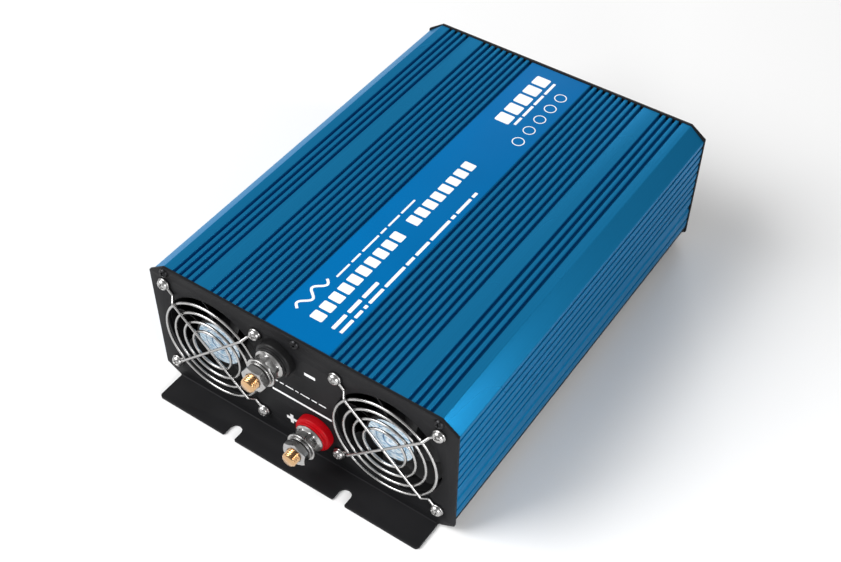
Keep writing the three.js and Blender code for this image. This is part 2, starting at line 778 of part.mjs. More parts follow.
function usbSocket() {
  const { width, height } = usb;
  const face = prismY(roundedRectangle(-10, 10, -6.5, 6.5, 1.5), -1.5, -0.02, 3);
  const shell = block(-7.2, 7.2, -0.5, 16, -3.6, 3.6);
  const mouth = block(-width / 2, width / 2, -3, 12.5, -height / 2, height / 2);
  const tongue = block(-5.4, 5.4, 1, 13, -0.2, 1.7);
  return cut(face.add(shell), [mouth]).add(tongue);
}

function earthStud() {
  const rod = turned([
    [0, -earth.reach],
    [earth.shank - 0.5, -earth.reach],
    [earth.shank, -earth.reach + 0.5],
    [earth.shank, 3],
    [0, 3],
  ], 14);
  return rod.add(prismY(hexagon(8), plate.thick + 0.1, plate.thick + 3.6));
}

socket.x.forEach((x, i) => {
  add(acEnd, `ac_socket_${i + 1}`, outlet(), blackPlastic, x, 0, socket.z);
});
add(acEnd, "switch_housing", switchHousing(), blackPlastic, rocker.x, 0, rocker.z);
const restingRocker = add(acEnd, "switch_rocker", switchRocker(), redPlastic, rocker.x, rocker.pivotY, rocker.z);
restingRocker.rotation.x = THREE.MathUtils.degToRad(rocker.tilt);
add(acEnd, "power_lamp", indicatorLamp(), greenLens, lamp.x, 0, lamp.z[0]);
add(acEnd, "fault_lamp", indicatorLamp(), redLens, lamp.x, 0, lamp.z[1]);
add(acEnd, "usb_socket", usbSocket(), blackPlastic, usb.x, 0, usb.z);
add(acEnd, "earth_stud", earthStud(), brightSteel, earth.x, 0, earth.z);
add(acEnd, "earth_nut", hexNut(8, -4.2, -0.1, earth.shank + 0.1), brightSteel, earth.x, 0, earth.z);

export default inverter;
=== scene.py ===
"""A power inverter's finished look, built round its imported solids.

Laid out as an add-on: each operator makes one piece or one group of like pieces, and main() calls them in
order. Lengths inside the shape functions are millimetres: x across, y in through an end plate whose outer
face is 0, so that what stands proud of it is negative, and z up from the floor. at_front(), at_rear() and
in_frame() turn them into the frame's metres.
"""

import bmesh
import bpy
import numpy as np
from bpy.props import FloatProperty, FloatVectorProperty, IntProperty, PointerProperty
from mathutils import Matrix, Vector


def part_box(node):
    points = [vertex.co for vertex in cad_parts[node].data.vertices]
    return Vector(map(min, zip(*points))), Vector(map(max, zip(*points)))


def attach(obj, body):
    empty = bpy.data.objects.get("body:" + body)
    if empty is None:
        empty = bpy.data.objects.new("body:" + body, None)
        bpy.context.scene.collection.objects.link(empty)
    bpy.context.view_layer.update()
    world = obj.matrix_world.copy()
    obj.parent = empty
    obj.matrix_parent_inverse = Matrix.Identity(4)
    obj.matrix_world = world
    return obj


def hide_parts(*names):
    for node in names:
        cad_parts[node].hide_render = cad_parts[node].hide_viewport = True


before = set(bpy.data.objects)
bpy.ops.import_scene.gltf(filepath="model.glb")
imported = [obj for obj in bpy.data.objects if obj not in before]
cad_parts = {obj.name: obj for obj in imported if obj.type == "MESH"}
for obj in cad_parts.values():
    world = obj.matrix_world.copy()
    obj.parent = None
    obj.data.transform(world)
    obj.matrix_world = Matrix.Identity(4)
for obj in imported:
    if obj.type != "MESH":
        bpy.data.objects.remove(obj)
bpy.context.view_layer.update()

bl_info = {
    "name": "Power inverter",
    "version": (1, 0, 0),
    "blender": (4, 5, 0),
    "location": "View3D > Sidebar > Inverter",
    "description": "Builds a power inverter's visible pieces round its packed solids",
    "category": "Add Mesh",
}

MM = 0.001
BODY = "inverter"


def box_mm(node):
    """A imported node's lowest and highest corners, in millimetres."""
    low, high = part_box(node)
    return np.array(low) / MM, np.array(high) / MM


plate_low, plate_high = box_mm("front_plate")
rear_low = box_mm("rear_plate")[0]
casing_low, casing_high = box_mm("top_casing")
tray_low, tray_high = box_mm("base_tray")
fan_low, fan_high = box_mm("fan_frame_right")

SHEET = 2.0
FRONT = plate_high[1] - SHEET
REAR = rear_low[1] + SHEET
HALF = plate_high[0]
TOP = plate_high[2]
FOOT = FRONT - plate_low[1]
FAN_X = (fan_low[0] + fan_high[0]) / 2
FAN_Z = (fan_low[2] + fan_high[2]) / 2
FAN_SCREW = 35.75
FAN_BORE = 38.0
POLES = ("negative", "positive")
STUD_REACH = FRONT - box_mm("positive_stud")[0][1]


def pole_place(name):
    """Where a battery stud's axis crosses the front plate: x and z."""
    low, high = box_mm(f"{name}_insulator")
    return (low[0] + high[0]) / 2, (low[2] + high[2]) / 2


# Sizes and colours that a user would change


def length_property(name, description, millimetres):
    """A length that a user can change, given in millimetres and kept in metres."""
    return FloatProperty(name=name, description=description, default=millimetres * MM, unit="LENGTH")


def colour_property(name, description, default):
    """A colour that a user can change, in linear light."""
    return FloatVectorProperty(name=name, description=description, default=default, subtype="COLOR")


class InverterSizes(bpy.types.PropertyGroup):
    """Sizes of the visible detail."""

    rib_pitch: length_property("Rib pitch", "Distance between roof grooves", 4.88)
    groove_depth: length_property("Groove depth", "Depth of a roof groove", 3.0)
    side_pitch: length_property("Side pitch", "Distance between side grooves", 7.38)
    wire: length_property("Guard wire", "Diameter of the fan guards' wire", 1.8)
    thread_pitch: length_property("Stud thread", "Thread pitch of the battery studs", 1.5)
    blades: IntProperty(name="Fan blades", description="Blades on each rotor", default=7, min=3, max=13)


class InverterColours(bpy.types.PropertyGroup):
    """Base colours of the finishes."""

    anodised: colour_property("Anodised blue", "Colour of the casing", (0.009, 0.175, 0.375))
    label: colour_property("Label blue", "Colour of the roof's printed film", (0.0, 0.13, 0.36))
    paint: colour_property("Black paint", "Colour of the end plates", (0.0095, 0.0095, 0.0105))
    insulator: colour_property("Positive red", "Colour of the positive insulator", (0.40, 0.002, 0.006))
    brass: colour_property("Brass", "Colour of the battery studs", (0.66, 0.42, 0.22))


def sizes():
    """The sizes now set in the panel."""
    return bpy.context.scene.inverter_sizes


def colours():
    """The colours now set in the panel."""
    return bpy.context.scene.inverter_colours


# Outlines and surfaces


def filleted(points, radius, steps=4, closed=True):
    """Rounds a polyline's corners with arcs. The tangent points stand radius / tan(half the corner's angle)
    from the corner, and the arc turns evenly from one to the other about the centre between them."""
    points = np.asarray(points, float)
    radius = np.broadcast_to(np.asarray(radius, float), len(points)).copy()
    if not closed:
        radius[[0, -1]] = 0
    back = np.roll(points, 1, 0) - points
    ahead = np.roll(points, -1, 0) - points
    back = back / np.maximum(np.linalg.norm(back, axis=1, keepdims=True), 1e-9)
    ahead = ahead / np.maximum(np.linalg.norm(ahead, axis=1, keepdims=True), 1e-9)
    half = np.arccos(np.clip((back * ahead).sum(1), -1, 1)) / 2
    half = np.clip(half, 1e-3, np.pi / 2 - 1e-4)[:, None]
    size = radius[:, None]
    middle = back + ahead
    middle = middle / np.maximum(np.linalg.norm(middle, axis=1, keepdims=True), 1e-9)
    centre = points + middle * size / np.sin(half)
    start = points + back * size / np.tan(half) - centre
    end = points + ahead * size / np.tan(half) - centre
    sweep = (np.pi - 2 * half)[:, :, None]
    share = np.linspace(0, 1, steps + 1)[None, :, None]
    arc = np.sin((1 - share) * sweep) * start[:, None] + np.sin(share * sweep) * end[:, None]
    rounded = (centre[:, None] + arc / np.sin(sweep)).reshape(-1, points.shape[1])
    step = np.linalg.norm(rounded - np.roll(rounded, 1, 0), axis=1)
    keep = step > 1e-4
    if not closed:
        keep[0] = True
    return rounded[keep]


def mirrored(points):
    """The left half of an even outline from its right half, in the order that carries the line on."""
    return np.asarray(points)[::-1] * np.array([-1, 1])


def circle(x, z, radius, count=64):
    """Points evenly round a circle."""
    angle = np.linspace(0, 2 * np.pi, count, endpoint=False)
    return np.stack([x + radius * np.cos(angle), z + radius * np.sin(angle)], 1)


def rectangle(x0, x1, z0, z1, radius=0.0):
    """A rectangle's corners, rounded where a radius is given."""
    corners = np.array([[x0, z0], [x1, z0], [x1, z1], [x0, z1]], float)
    return filleted(corners, radius) if radius else corners


def centred(half_x, half_z, radius=0.0, at=(0, 0)):
    """A rectangle about a point, from half its width and half its height."""
    x, z = at
    return rectangle(x - half_x, x + half_x, z - half_z, z + half_z, radius)


def hexagon_radius(angle, across_flats):
    """Distance from a hexagon's centre to its edge at an angle: half the width across flats over the cosine
    of the angle from the nearest flat's middle, with the corners turned down slightly."""
    from_flat = (angle + np.pi / 6) % (np.pi / 3) - np.pi / 6
    blunt_corner = across_flats / np.sqrt(3) * 0.985
    return np.minimum(across_flats / 2 / np.cos(from_flat), blunt_corner)


def grid_faces(rows, columns, wrap_rows, wrap_columns):
    """Quads between neighbouring points of a grid that is numbered row by row. A wrapped direction also
    joins its last line to its first."""
    row = np.arange(rows if wrap_rows else rows - 1)
    column = np.arange(columns if wrap_columns else columns - 1)
    row, column = np.meshgrid(row, column, indexing="ij")
    next_row, next_column = (row + 1) % rows, (column + 1) % columns
    quads = [row * columns + column, row * columns + next_column]
    quads += [next_row * columns + next_column, next_row * columns + column]
    return np.stack(quads, -1).reshape(-1, 4)


def surface(points, wrap_rows=False, wrap_columns=False, caps=False):
    """A shell from a grid of points. With caps, the first and last rows are closed by flat faces."""
    rows, columns = points.shape[:2]
    faces = grid_faces(rows, columns, wrap_rows, wrap_columns).tolist()
    if caps:
        faces.append(list(range(columns)))
        faces.append(list(range((rows - 1) * columns, rows * columns)))
    return points.reshape(-1, 3), faces


def around_y(radius, y, angle):
    """Points at a radius and an angle about the y axis: radius cos a, y and radius sin a."""
    shape = np.broadcast_shapes(np.shape(radius), np.shape(angle))
    return np.stack([radius * np.cos(angle), np.broadcast_to(y, shape), radius * np.sin(angle)], -1)


def closed_profile(points):
    """Brings a profile back to its start, so that turning it gives a ring."""
    return np.concatenate([points, points[:1]])


def turned(profile, count=48):
    """A surface of revolution about the y axis from a profile of (radius, y) pairs, which ends on the axis
    or on its own start."""
    profile = np.asarray(profile, float)
    angle = np.linspace(0, 2 * np.pi, count, endpoint=False)[:, None]
    points = around_y(profile[None, :, 0], profile[None, :, 1], angle)
    on_axis = profile[0, 0] < 1e-9 and profile[-1, 0] < 1e-9
    return surface(points, wrap_rows=True, wrap_columns=not on_axis)


def swept(outline, stations):
    """A closed outline in x and z carried straight along y through the given stations, with flat ends."""
    outline = np.asarray(outline, float)
    stations = np.asarray(stations, float)
    points = np.empty((len(stations), len(outline), 3))
    points[..., 0] = outline[None, :, 0]
    points[..., 1] = stations[:, None]
    points[..., 2] = outline[None, :, 1]
    return surface(points, wrap_columns=True, caps=True)


def tube(path, radius, normal, count=12, closed=False):
    """A round wire along a path that lies in a plane: each ring is radius times the cosine of the angle
    along the plane's normal, plus radius times the sine along the path's own sideways direction."""
    path = np.asarray(path, float)
    normal = np.asarray(normal, float) / np.linalg.norm(normal)
    if closed:
        along = np.roll(path, -1, 0) - np.roll(path, 1, 0)
    else:
        along = np.gradient(path, axis=0)
    side = np.cross(along, normal)
    side /= np.linalg.norm(side, axis=1, keepdims=True)
    angle = np.linspace(0, 2 * np.pi, count, endpoint=False)
    ring = np.cos(angle)[None, :, None] * normal + np.sin(angle)[None, :, None] * side[:, None]
    points = path[:, None] + radius * ring
    return surface(points, wrap_rows=closed, wrap_columns=True, caps=not closed)


def sheet(outlines, thickness, edge=0.2, steps=2):
    """A flat sheet whose closed outlines are filled, with a hole where one lies inside another. Its edges
    are rounded. It comes back with x, y as drawn and its thickness centred on zero."""
    curve = bpy.data.curves.new("outline", "CURVE")
    curve.dimensions = "2D"
    curve.fill_mode = "BOTH"
    curve.extrude = thickness / 2 - edge
    curve.bevel_depth = edge
    curve.bevel_resolution = steps
    curve.offset = -edge
    for outline in outlines:
        spline = curve.splines.new("POLY")
        spline.points.add(len(outline) - 1)
        places = np.zeros((len(outline), 4))
        places[:, :2] = outline
        places[:, 3] = 1
        spline.points.foreach_set("co", places.ravel())
        spline.use_cyclic_u = True
    holder = bpy.data.objects.new("outline", curve)
    bpy.context.scene.collection.objects.link(holder)
    mesh = bpy.data.meshes.new_from_object(holder.evaluated_get(bpy.context.evaluated_depsgraph_get()))
    points = np.empty(len(mesh.vertices) * 3)
    mesh.vertices.foreach_get("co", points)
    faces = [list(face.vertices) for face in mesh.polygons]
    bpy.data.objects.remove(holder)
    bpy.data.curves.remove(curve)
    bpy.data.meshes.remove(mesh)
    return points.reshape(-1, 3), faces


def stood_up(shell, y=0.0):
    """Stands a flat sheet in the plane of an end plate, its middle at y."""
    points, faces = shell
    return np.stack([points[:, 0], y - points[:, 2], points[:, 1]], 1), faces


def facing_side(shell):
    """Turns a flat sheet to lie across x: what was drawn as x, y becomes y, z."""
    points, faces = shell
    return np.stack([points[:, 2], points[:, 0], points[:, 1]], 1), faces


def shifted(shell, x=0.0, y=0.0, z=0.0):
    """A shell moved by the given millimetres."""
    points, faces = shell
    return points + np.array([x, y, z]), faces


def at_front(shell):
    """From the front plate's own lengths to the frame's metres."""
    points, faces = shell
    return (points + np.array([0, FRONT, 0])) * MM, faces


def at_rear(shell):
    """The rear plate is the front plate turned half round."""
    points, faces = shell
    return np.stack([-points[:, 0], REAR - points[:, 1], points[:, 2]], 1) * MM, faces


def in_frame(shell):
    """Turns millimetres about the frame's origin into metres."""
    points, faces = shell
    return points * MM, faces


# Pieces


def piece(name, shells, look, replaces=(), body=BODY, place=in_frame, at=(0, 0, 0), sharp=32.0):
    """One object from closed shells, shifted to a point and placed in the frame. Seams and poles are merged,
    faces turned outwards, and edges sharper than the given angle kept crisp. A look is a finish with the name
    of the material slot it stands for; that name is not used."""
    finish, slot = look
    shells = [place(shifted(shell, *at)) for shell in shells]
    mesh = bpy.data.meshes.new(name)
    points, faces, start = [], [], 0
    for shell_points, shell_faces in shells:
        points.append(shell_points)
        faces.extend([[index + start for index in face] for face in shell_faces])
        start += len(shell_points)
    mesh.from_pydata(np.concatenate(points).tolist(), [], faces)
    build = bmesh.new()
    build.from_mesh(mesh)
    bmesh.ops.remove_doubles(build, verts=build.verts, dist=2e-7)
    bmesh.ops.recalc_face_normals(build, faces=build.faces)
    build.to_mesh(mesh)
    build.free()
    mesh.shade_smooth()
    mesh.set_sharp_from_angle(angle=np.radians(sharp))
    mesh.materials.append(finish)
    made = bpy.data.objects.new(name, mesh)
    bpy.context.scene.collection.objects.link(made)
    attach(made, body)
    if replaces:
        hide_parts(*replaces)
    return made


def refinish(node, finish):
    """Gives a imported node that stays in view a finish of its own."""
    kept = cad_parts[node]
    if not kept.material_slots:
        kept.data.materials.append(finish)
    kept.material_slots[0].material = finish


# Finishes


def new_finish(name, colour, roughness, metallic=0.0, **sockets):
    """A material with its principled shader; further sockets are set by name. A finish made before is used
    again, so no finish may share its name with a packed material."""
    found = bpy.data.materials.get(name)
    if found:
        return found, None, None
    finish = bpy.data.materials.new(name)
    finish.use_nodes = True
    tree = finish.node_tree
    shader = tree.nodes["Principled BSDF"]
    shader.inputs["Base Color"].default_value = (*colour, 1)
    shader.inputs["Roughness"].default_value = roughness
    shader.inputs["Metallic"].default_value = metallic
    for socket, value in sockets.items():
        shader.inputs[socket.replace("_", " ")].default_value = value
    return finish, tree, shader


def object_noise(tree, scale, detail=3.0, stretch=(1, 1, 1)):
    """Noise over the piece's own coordinates. The scale is in features per metre, and stretch multiplies it
    along each axis."""
    place = tree.nodes.new("ShaderNodeTexCoord")
    mapping = tree.nodes.new("ShaderNodeMapping")
    mapping.inputs["Scale"].default_value = stretch
    noise = tree.nodes.new("ShaderNodeTexNoise")
    noise.inputs["Scale"].default_value = scale
    noise.inputs["Detail"].default_value = detail
    tree.links.new(place.outputs["Object"], mapping.inputs["Vector"])
    tree.links.new(mapping.outputs["Vector"], noise.inputs["Vector"])
    return noise.outputs["Fac"]


def spread(tree, value, low, high):
    """Maps a noise to a range, from the part of its scale where nearly all of its values lie."""
    ramp = tree.nodes.new("ShaderNodeMapRange")
    ramp.inputs["From Min"].default_value = 0.3
    ramp.inputs["From Max"].default_value = 0.7
    ramp.inputs["To Min"].default_value = low
    ramp.inputs["To Max"].default_value = high
    tree.links.new(value, ramp.inputs["Value"])
    return ramp.outputs["Result"]


def tint(tree, shader, value, colour, low, high):
    """Varies the base colour's brightness between two factors."""
    mix = tree.nodes.new("ShaderNodeMix")
    mix.data_type = "RGBA"
    mix.inputs["A"].default_value = (*[min(1, c * low) for c in colour], 1)
    mix.inputs["B"].default_value = (*[min(1, c * high) for c in colour], 1)
    tree.links.new(value, mix.inputs["Factor"])
    tree.links.new(mix.outputs["Result"], shader.inputs["Base Color"])


def bumped(tree, shader, value, strength, depth_mm):
    """Gives a shader's surface the relief of a pattern: its strength, and its depth in millimetres."""
    bump = tree.nodes.new("ShaderNodeBump")
    bump.inputs["Strength"].default_value = strength
    bump.inputs["Distance"].default_value = depth_mm * MM
    tree.links.new(value, bump.inputs["Height"])
    tree.links.new(bump.outputs["Normal"], shader.inputs["Normal"])


def anodising():
    """Blue anodising over an extrusion: die lines along its length, a faint grain and a soft cloudiness."""
    colour = tuple(colours().anodised)
    edge = (0.2, 0.55, 0.85, 1)
    finish, tree, shader = new_finish("blue_anodising", colour, 0.28, 0.45, Specular_IOR_Level=0.1,
                                      Specular_Tint=edge)
    if tree:
        lines = object_noise(tree, 900, 2, (1, 0, 1))
        cloud = object_noise(tree, 14, 3, (1, 0.35, 1))
        grain = object_noise(tree, 5200, 2)
        tint(tree, shader, spread(tree, lines, 0, 1), colour, 0.95, 1.05)
        tree.links.new(spread(tree, cloud, 0.25, 0.31), shader.inputs["Roughness"])
        blend = tree.nodes.new("ShaderNodeMath")
        blend.operation = "ADD"
        tree.links.new(lines, blend.inputs[0])
        tree.links.new(grain, blend.inputs[1])
        bumped(tree, shader, blend.outputs[0], 0.04, 0.03)
    return finish, "anodised_casing"


def powder_coat():
    """Black powder coat: a fine orange-peel texture with slightly uneven gloss."""
    colour = tuple(colours().paint)
    finish, tree, shader = new_finish("black_powder_coat", colour, 0.55, 0.0, Specular_IOR_Level=0.12)
    if tree:
        peel = object_noise(tree, 1500, 3)
        patch = object_noise(tree, 40, 2)
        tint(tree, shader, spread(tree, patch, 0, 1), colour, 0.9, 1.15)
        tree.links.new(spread(tree, patch, 0.50, 0.60), shader.inputs["Roughness"])
        bumped(tree, shader, peel, 0.35, 0.05)
    return finish, "black_paint"


def metal_finish(name, colour, roughness, stretch=(1, 1, 1), scale=600, strength=0.06):
    """Bare or plated metal with faint tool marks and handling smudges."""
    finish, tree, shader = new_finish(name, colour, roughness, 1.0)
    if tree:
        marks = object_noise(tree, scale, 2, stretch)
        smudge = object_noise(tree, 120, 2)
        tint(tree, shader, spread(tree, smudge, 0, 1), colour, 0.9, 1.06)
        gloss = spread(tree, smudge, roughness * 0.8, roughness * 1.35)
        tree.links.new(gloss, shader.inputs["Roughness"])
        bumped(tree, shader, marks, strength, 0.03)
    return finish


def nickel():
    """Bright nickel plate, for the guards, nuts and washers."""
    return metal_finish("bright_nickel", (0.46, 0.455, 0.45), 0.28), "bright_steel"


def black_oxide():
    """Blackened steel, for the screws of the end plates."""
    return metal_finish("black_oxide", (0.03, 0.03, 0.032), 0.35), "black_steel"


def brass():
    """Brass in the colour set in the panel, for the battery studs."""
    return metal_finish("stud_brass", tuple(colours().brass), 0.2, (1, 0.2, 1)), "brass"


def plastic_finish(name, colour, roughness, texture=2400, strength=0.12, **sockets):
    """Moulded plastic: a fine spark-eroded texture and slightly uneven gloss."""
    finish, tree, shader = new_finish(name, colour, roughness, 0.0, **sockets)
    if tree:
        grain = object_noise(tree, texture, 2)
        patch = object_noise(tree, 60, 2)
        tint(tree, shader, spread(tree, patch, 0, 1), colour, 0.93, 1.08)
        gloss = spread(tree, patch, roughness * 0.9, roughness * 1.15)
        tree.links.new(gloss, shader.inputs["Roughness"])
        bumped(tree, shader, grain, strength, 0.02)
    return finish


def black_plastic():
    """Black moulding, for the fans, outlets and switch."""
    black = (0.009, 0.009, 0.0095)
    return plastic_finish("moulded_black", black, 0.42, Specular_IOR_Level=0.2), "black_plastic"


def red_plastic():
    """Red moulding in the colour set in the panel."""
    red = tuple(colours().insulator)
    return plastic_finish("moulded_red", red, 0.34, Specular_IOR_Level=0.12), "red_plastic"


def ink():
    """White printing ink."""
    return plastic_finish("white_ink", (0.86, 0.87, 0.88), 0.5, 3000, 0.05), "label_film"


def printed_film():
    """Printed polyester film: even colour with a faint satin texture."""
    colour = tuple(colours().label)
    finish, tree, shader = new_finish("blue_film", colour, 0.42, 0.0, Specular_IOR_Level=0.03)
    if tree:
        grain = object_noise(tree, 2600, 2)
        patch = object_noise(tree, 18, 2)
        tint(tree, shader, spread(tree, patch, 0, 1), colour, 0.96, 1.05)
        bumped(tree, shader, grain, 0.08, 0.02)
    return finish, "label_film"


# The casing


ROOF = casing_high[2]
SIDE = casing_high[0]
WALL = 4.0
ROOF_WALL = 5.0
CORNER = (11.0, 9.0)  # how far the slanted corner runs across and down
LABEL_HALF = 23.4
LABEL_STEP = 0.3
ROOF_GROOVES = ((24.9, 9), (78.6, 4))  # each group's first groove, and how many it has
SIDE_GROOVES = (87.9, 7)  # the highest groove, and how many there are
GROOVE_WIDTH = 2.35
SIDE_DEPTH = 1.6


def groove(centre, width, depth, lip, root):
    """Offsets and depths across one round-shouldered groove, from its near lip to its far lip."""
    half = width / 2
    corners = [[-half - lip * 2, 0], [-half, 0], [-half + 0.12, depth], [half - 0.12, depth], [half, 0]]
    corners.append([half + lip * 2, 0])
    rounded = filleted(corners, [0, lip, root, root, lip, 0], 4, closed=False)[1:-1]
    return rounded + np.array([centre, 0])


def roof_line():
    """The roof's outer line from the label's edge to the corner: round-shouldered grooves at even pitch."""
    pitch, depth = sizes().rib_pitch / MM, sizes().groove_depth / MM
    seat = ROOF - LABEL_STEP
    parts = [[[0, seat], [LABEL_HALF - 0.15, seat], [LABEL_HALF - 0.05, ROOF - 0.05]]]
    for first, count in ROOF_GROOVES:
        for index in range(count):
            line = groove(first + index * pitch, GROOVE_WIDTH, depth, 0.4, 0.45)
            parts.append(np.stack([line[:, 0], ROOF - line[:, 1]], 1))
    return np.concatenate(parts)


def side_line():
    """The side's outer line from under the corner to the lower edge: fine grooves, a shallow band and a
    single line."""
    pitch = sizes().side_pitch / MM
    first, count = SIDE_GROOVES
    parts = []
    for index in range(count):
        line = groove(-(first - index * pitch), GROOVE_WIDTH, SIDE_DEPTH, 0.4, 0.4)
        parts.append(np.stack([SIDE - line[:, 1], -line[:, 0]], 1))
    valley = SIDE - 0.8
    band = [[SIDE, 38], [SIDE, 36], [valley, 35.2], [valley, 30.8], [SIDE, 30], [SIDE, 28]]
    parts.append(filleted(band, [0, 0.5, 0.5, 0.5, 0.5, 0], 4, closed=False))
    line = groove(-21.3, 2.15, 1.2, 0.35, 0.35)
    parts.append(np.stack([SIDE - line[:, 1], -line[:, 0]], 1))
    return np.concatenate(parts)


def corner_line():
    """The slanted corner between roof and side, with small round edges."""
    points = [[SIDE - CORNER[0] - 4, ROOF], [SIDE - CORNER[0], ROOF], [SIDE, ROOF - CORNER[1]]]
    points.append([SIDE, ROOF - CORNER[1] - 0.8])
    return filleted(points, [0, 1.2, 0.9, 0], 6, closed=False)[1:-1]


def casing_outline():
    """The casing's section in x and z: half an outline and its mirror image."""
    low = casing_low[2]
    inner = SIDE - WALL
    foot = [[SIDE, low + 3], [SIDE, low], [inner, low], [inner, low + 3]]
    edge = filleted(foot, [0, 0.3, 0.3, 0], 3, closed=False)[1:-1]
    inside = [[inner, 89.0], [inner - 10, ROOF - ROOF_WALL], [0, ROOF - ROOF_WALL]]
    half = np.concatenate([roof_line(), corner_line(), side_line(), edge, inside])
    return np.concatenate([half, mirrored(half[1:-1])])


class INVERTER_OT_casing(bpy.types.Operator):
    """Ribbed top casing"""

    bl_idname = "inverter.casing"
    bl_label = "Ribbed casing"

    def execute(self, context):
        stations = np.linspace(casing_low[1], casing_high[1], 5)
        piece("casing_shell", [swept(casing_outline(), stations)], anodising(), ["top_casing"])
        return {"FINISHED"}


FLOOR_HALF = 101.0  # where the flat floor ends, and the feet's half width
TRAY_SHEET = 1.5
PILLARS_X = (-72, 72)
PILLARS_Y = (-106, 3, 112)


def tray_outline():
    """The folded tray: flat floor, slanted corners, a short outer wall and the lip inside the casing."""
    low, ledge, top = tray_low[2], casing_low[2] - 0.2, tray_high[2]
    lip = SIDE - WALL - 0.2
    thin = TRAY_SHEET
    right = [[FLOOR_HALF, low], [SIDE, low + 9.1], [SIDE, ledge], [lip, ledge], [lip, top], [lip - thin, top]]
    right += [[lip - thin, ledge - thin], [SIDE - thin, ledge - thin], [SIDE - thin, low + 9.7]]
    right.append([FLOOR_HALF - 0.6, low + thin])
    radius = [3, 2.5, 0.6, 0.3, 0.4, 0.4, 0.3, 0.3, 1, 1.5]
    return filleted(np.concatenate([right, mirrored(right)]), radius + radius[::-1], 4)


class INVERTER_OT_tray(bpy.types.Operator):
    """Folded base tray with its pillars"""

    bl_idname = "inverter.tray"
    bl_label = "Base tray"

    def execute(self, context):
        shells = [swept(tray_outline(), np.linspace(tray_low[1], tray_high[1], 3))]
        profile = [[0, 0], [4, 0], [4, 7.9], [1.5, 7.9], [1.5, 11.4], [1.2, 11.7], [0, 11.7]]
        for x in PILLARS_X:
            for y in PILLARS_Y:
                points, faces = turned(profile, count=24)
                upright = np.stack([points[:, 0] + x, points[:, 2] + y, points[:, 1] + 3.9], 1)
                shells.append((upright, faces))
        piece("tray_shell", shells, powder_coat(), ["base_tray"])
        return {"FINISHED"}


# The label: plain bars, rings and a wave in place of print


INK = 0.04  # thickness of print


def blocks(start, lengths, gap, low, high, radius):
    """A row of rounded bars: each starts one gap after the one before it ends."""
    outlines = []
    for length in lengths:
        outlines.append(rectangle(start, start + length, low, high, radius))
        start += length + gap
    return outlines


def label_bars():
    """Outlines of the label's generic print, drawn with x along the casing from its front end and y across
    it, positive to the left."""
    bars = []
    for start, count in ((17.5, 5), (62, 5), (115.5, 8)):
        bars += blocks(start, [6.6] * count, 2.3, -4.5, 4.5, 0.9)
    bars += blocks(52, [13, 9, 17, 6, 12, 15], 2.1, 9.6, 11.0, 0.5)
    bars += blocks(17.5, [13, 12, 15], 2.4, -14.0, -11.4, 0.6)
    bars += blocks(17.5, [12, 7, 3, 14, 20, 8, 14, 21, 4, 16, 5], 2.1, -19.5, -17.3, 0.5)
    bars += blocks(232, [9.6] * 5, 2.5, 1.2, 12.4, 1.2)
    bars += blocks(234.5, [9, 13, 12, 14], 2.0, -3.4, -1.4, 0.5)
    return [outline + np.array([casing_low[1], 0]) for outline in bars]


def approval_rings():
    """Generic marks near the label's rear end: plain rings, each an outline and its hole."""
    rings = []
    for along in (221, 235, 249, 263, 277):
        centre = casing_low[1] + along
        rings.append([circle(centre, -13.6, 4.4, 48), circle(centre, -13.6, 3.7, 48)])
    return rings


def wave_ribbon():
    """A sine wave of two periods as a thin closed ribbon: each edge stands half the ribbon's width off the
    wave along the wave's own normal."""
    length, height, width = 29.0, 3.0, 1.7
    turns = 4 * np.pi
    along = np.linspace(0, 1, 90)
    x = casing_low[1] + 18.5 + length * along
    y = 14.0 + height * np.sin(turns * along)
    slope = height * turns * np.cos(turns * along) / length
    normal = np.stack([-slope, np.ones_like(slope)], 1) / np.sqrt(1 + slope**2)[:, None]
    line = np.stack([x, y], 1)
    return np.concatenate([line + width / 2 * normal, (line - width / 2 * normal)[::-1]])


class INVERTER_OT_label(bpy.types.Operator):
    """Printed film along the roof's flat strip"""

    bl_idname = "inverter.label"
    bl_label = "Roof label"

    def execute(self, context):
        low, high = box_mm("top_label")
        film = sheet([rectangle(low[0], high[0], low[1], high[1], 1.0)], high[2] - low[2], 0.08)
        middle = (low[2] + high[2]) / 2
        piece("label_film", [film], printed_film(), ["top_label"], at=(0, 0, middle))
        shells = []
        print_outlines = [[outline] for outline in [*label_bars(), wave_ribbon()]]
        for outlines in [*print_outlines, *approval_rings()]:
            points, faces = sheet(outlines, INK, 0.0)
            shells.append((np.stack([-points[:, 1], points[:, 0], points[:, 2] + high[2] + 0.01], 1), faces))
        piece("label_print", shells, ink())
        return {"FINISHED"}


# End plates


STUD_HOLE = 8.0
SCREWS_X = (-100, 0, 100)
SCREWS_Z = 98
BEND = 3.0  # height where the foot's bend starts, with the sheet's outer face on the floor
NEUTRAL = BEND - SHEET / 2  # radius of the sheet's middle round the bend
BEND_END = BEND - NEUTRAL * np.pi / 2


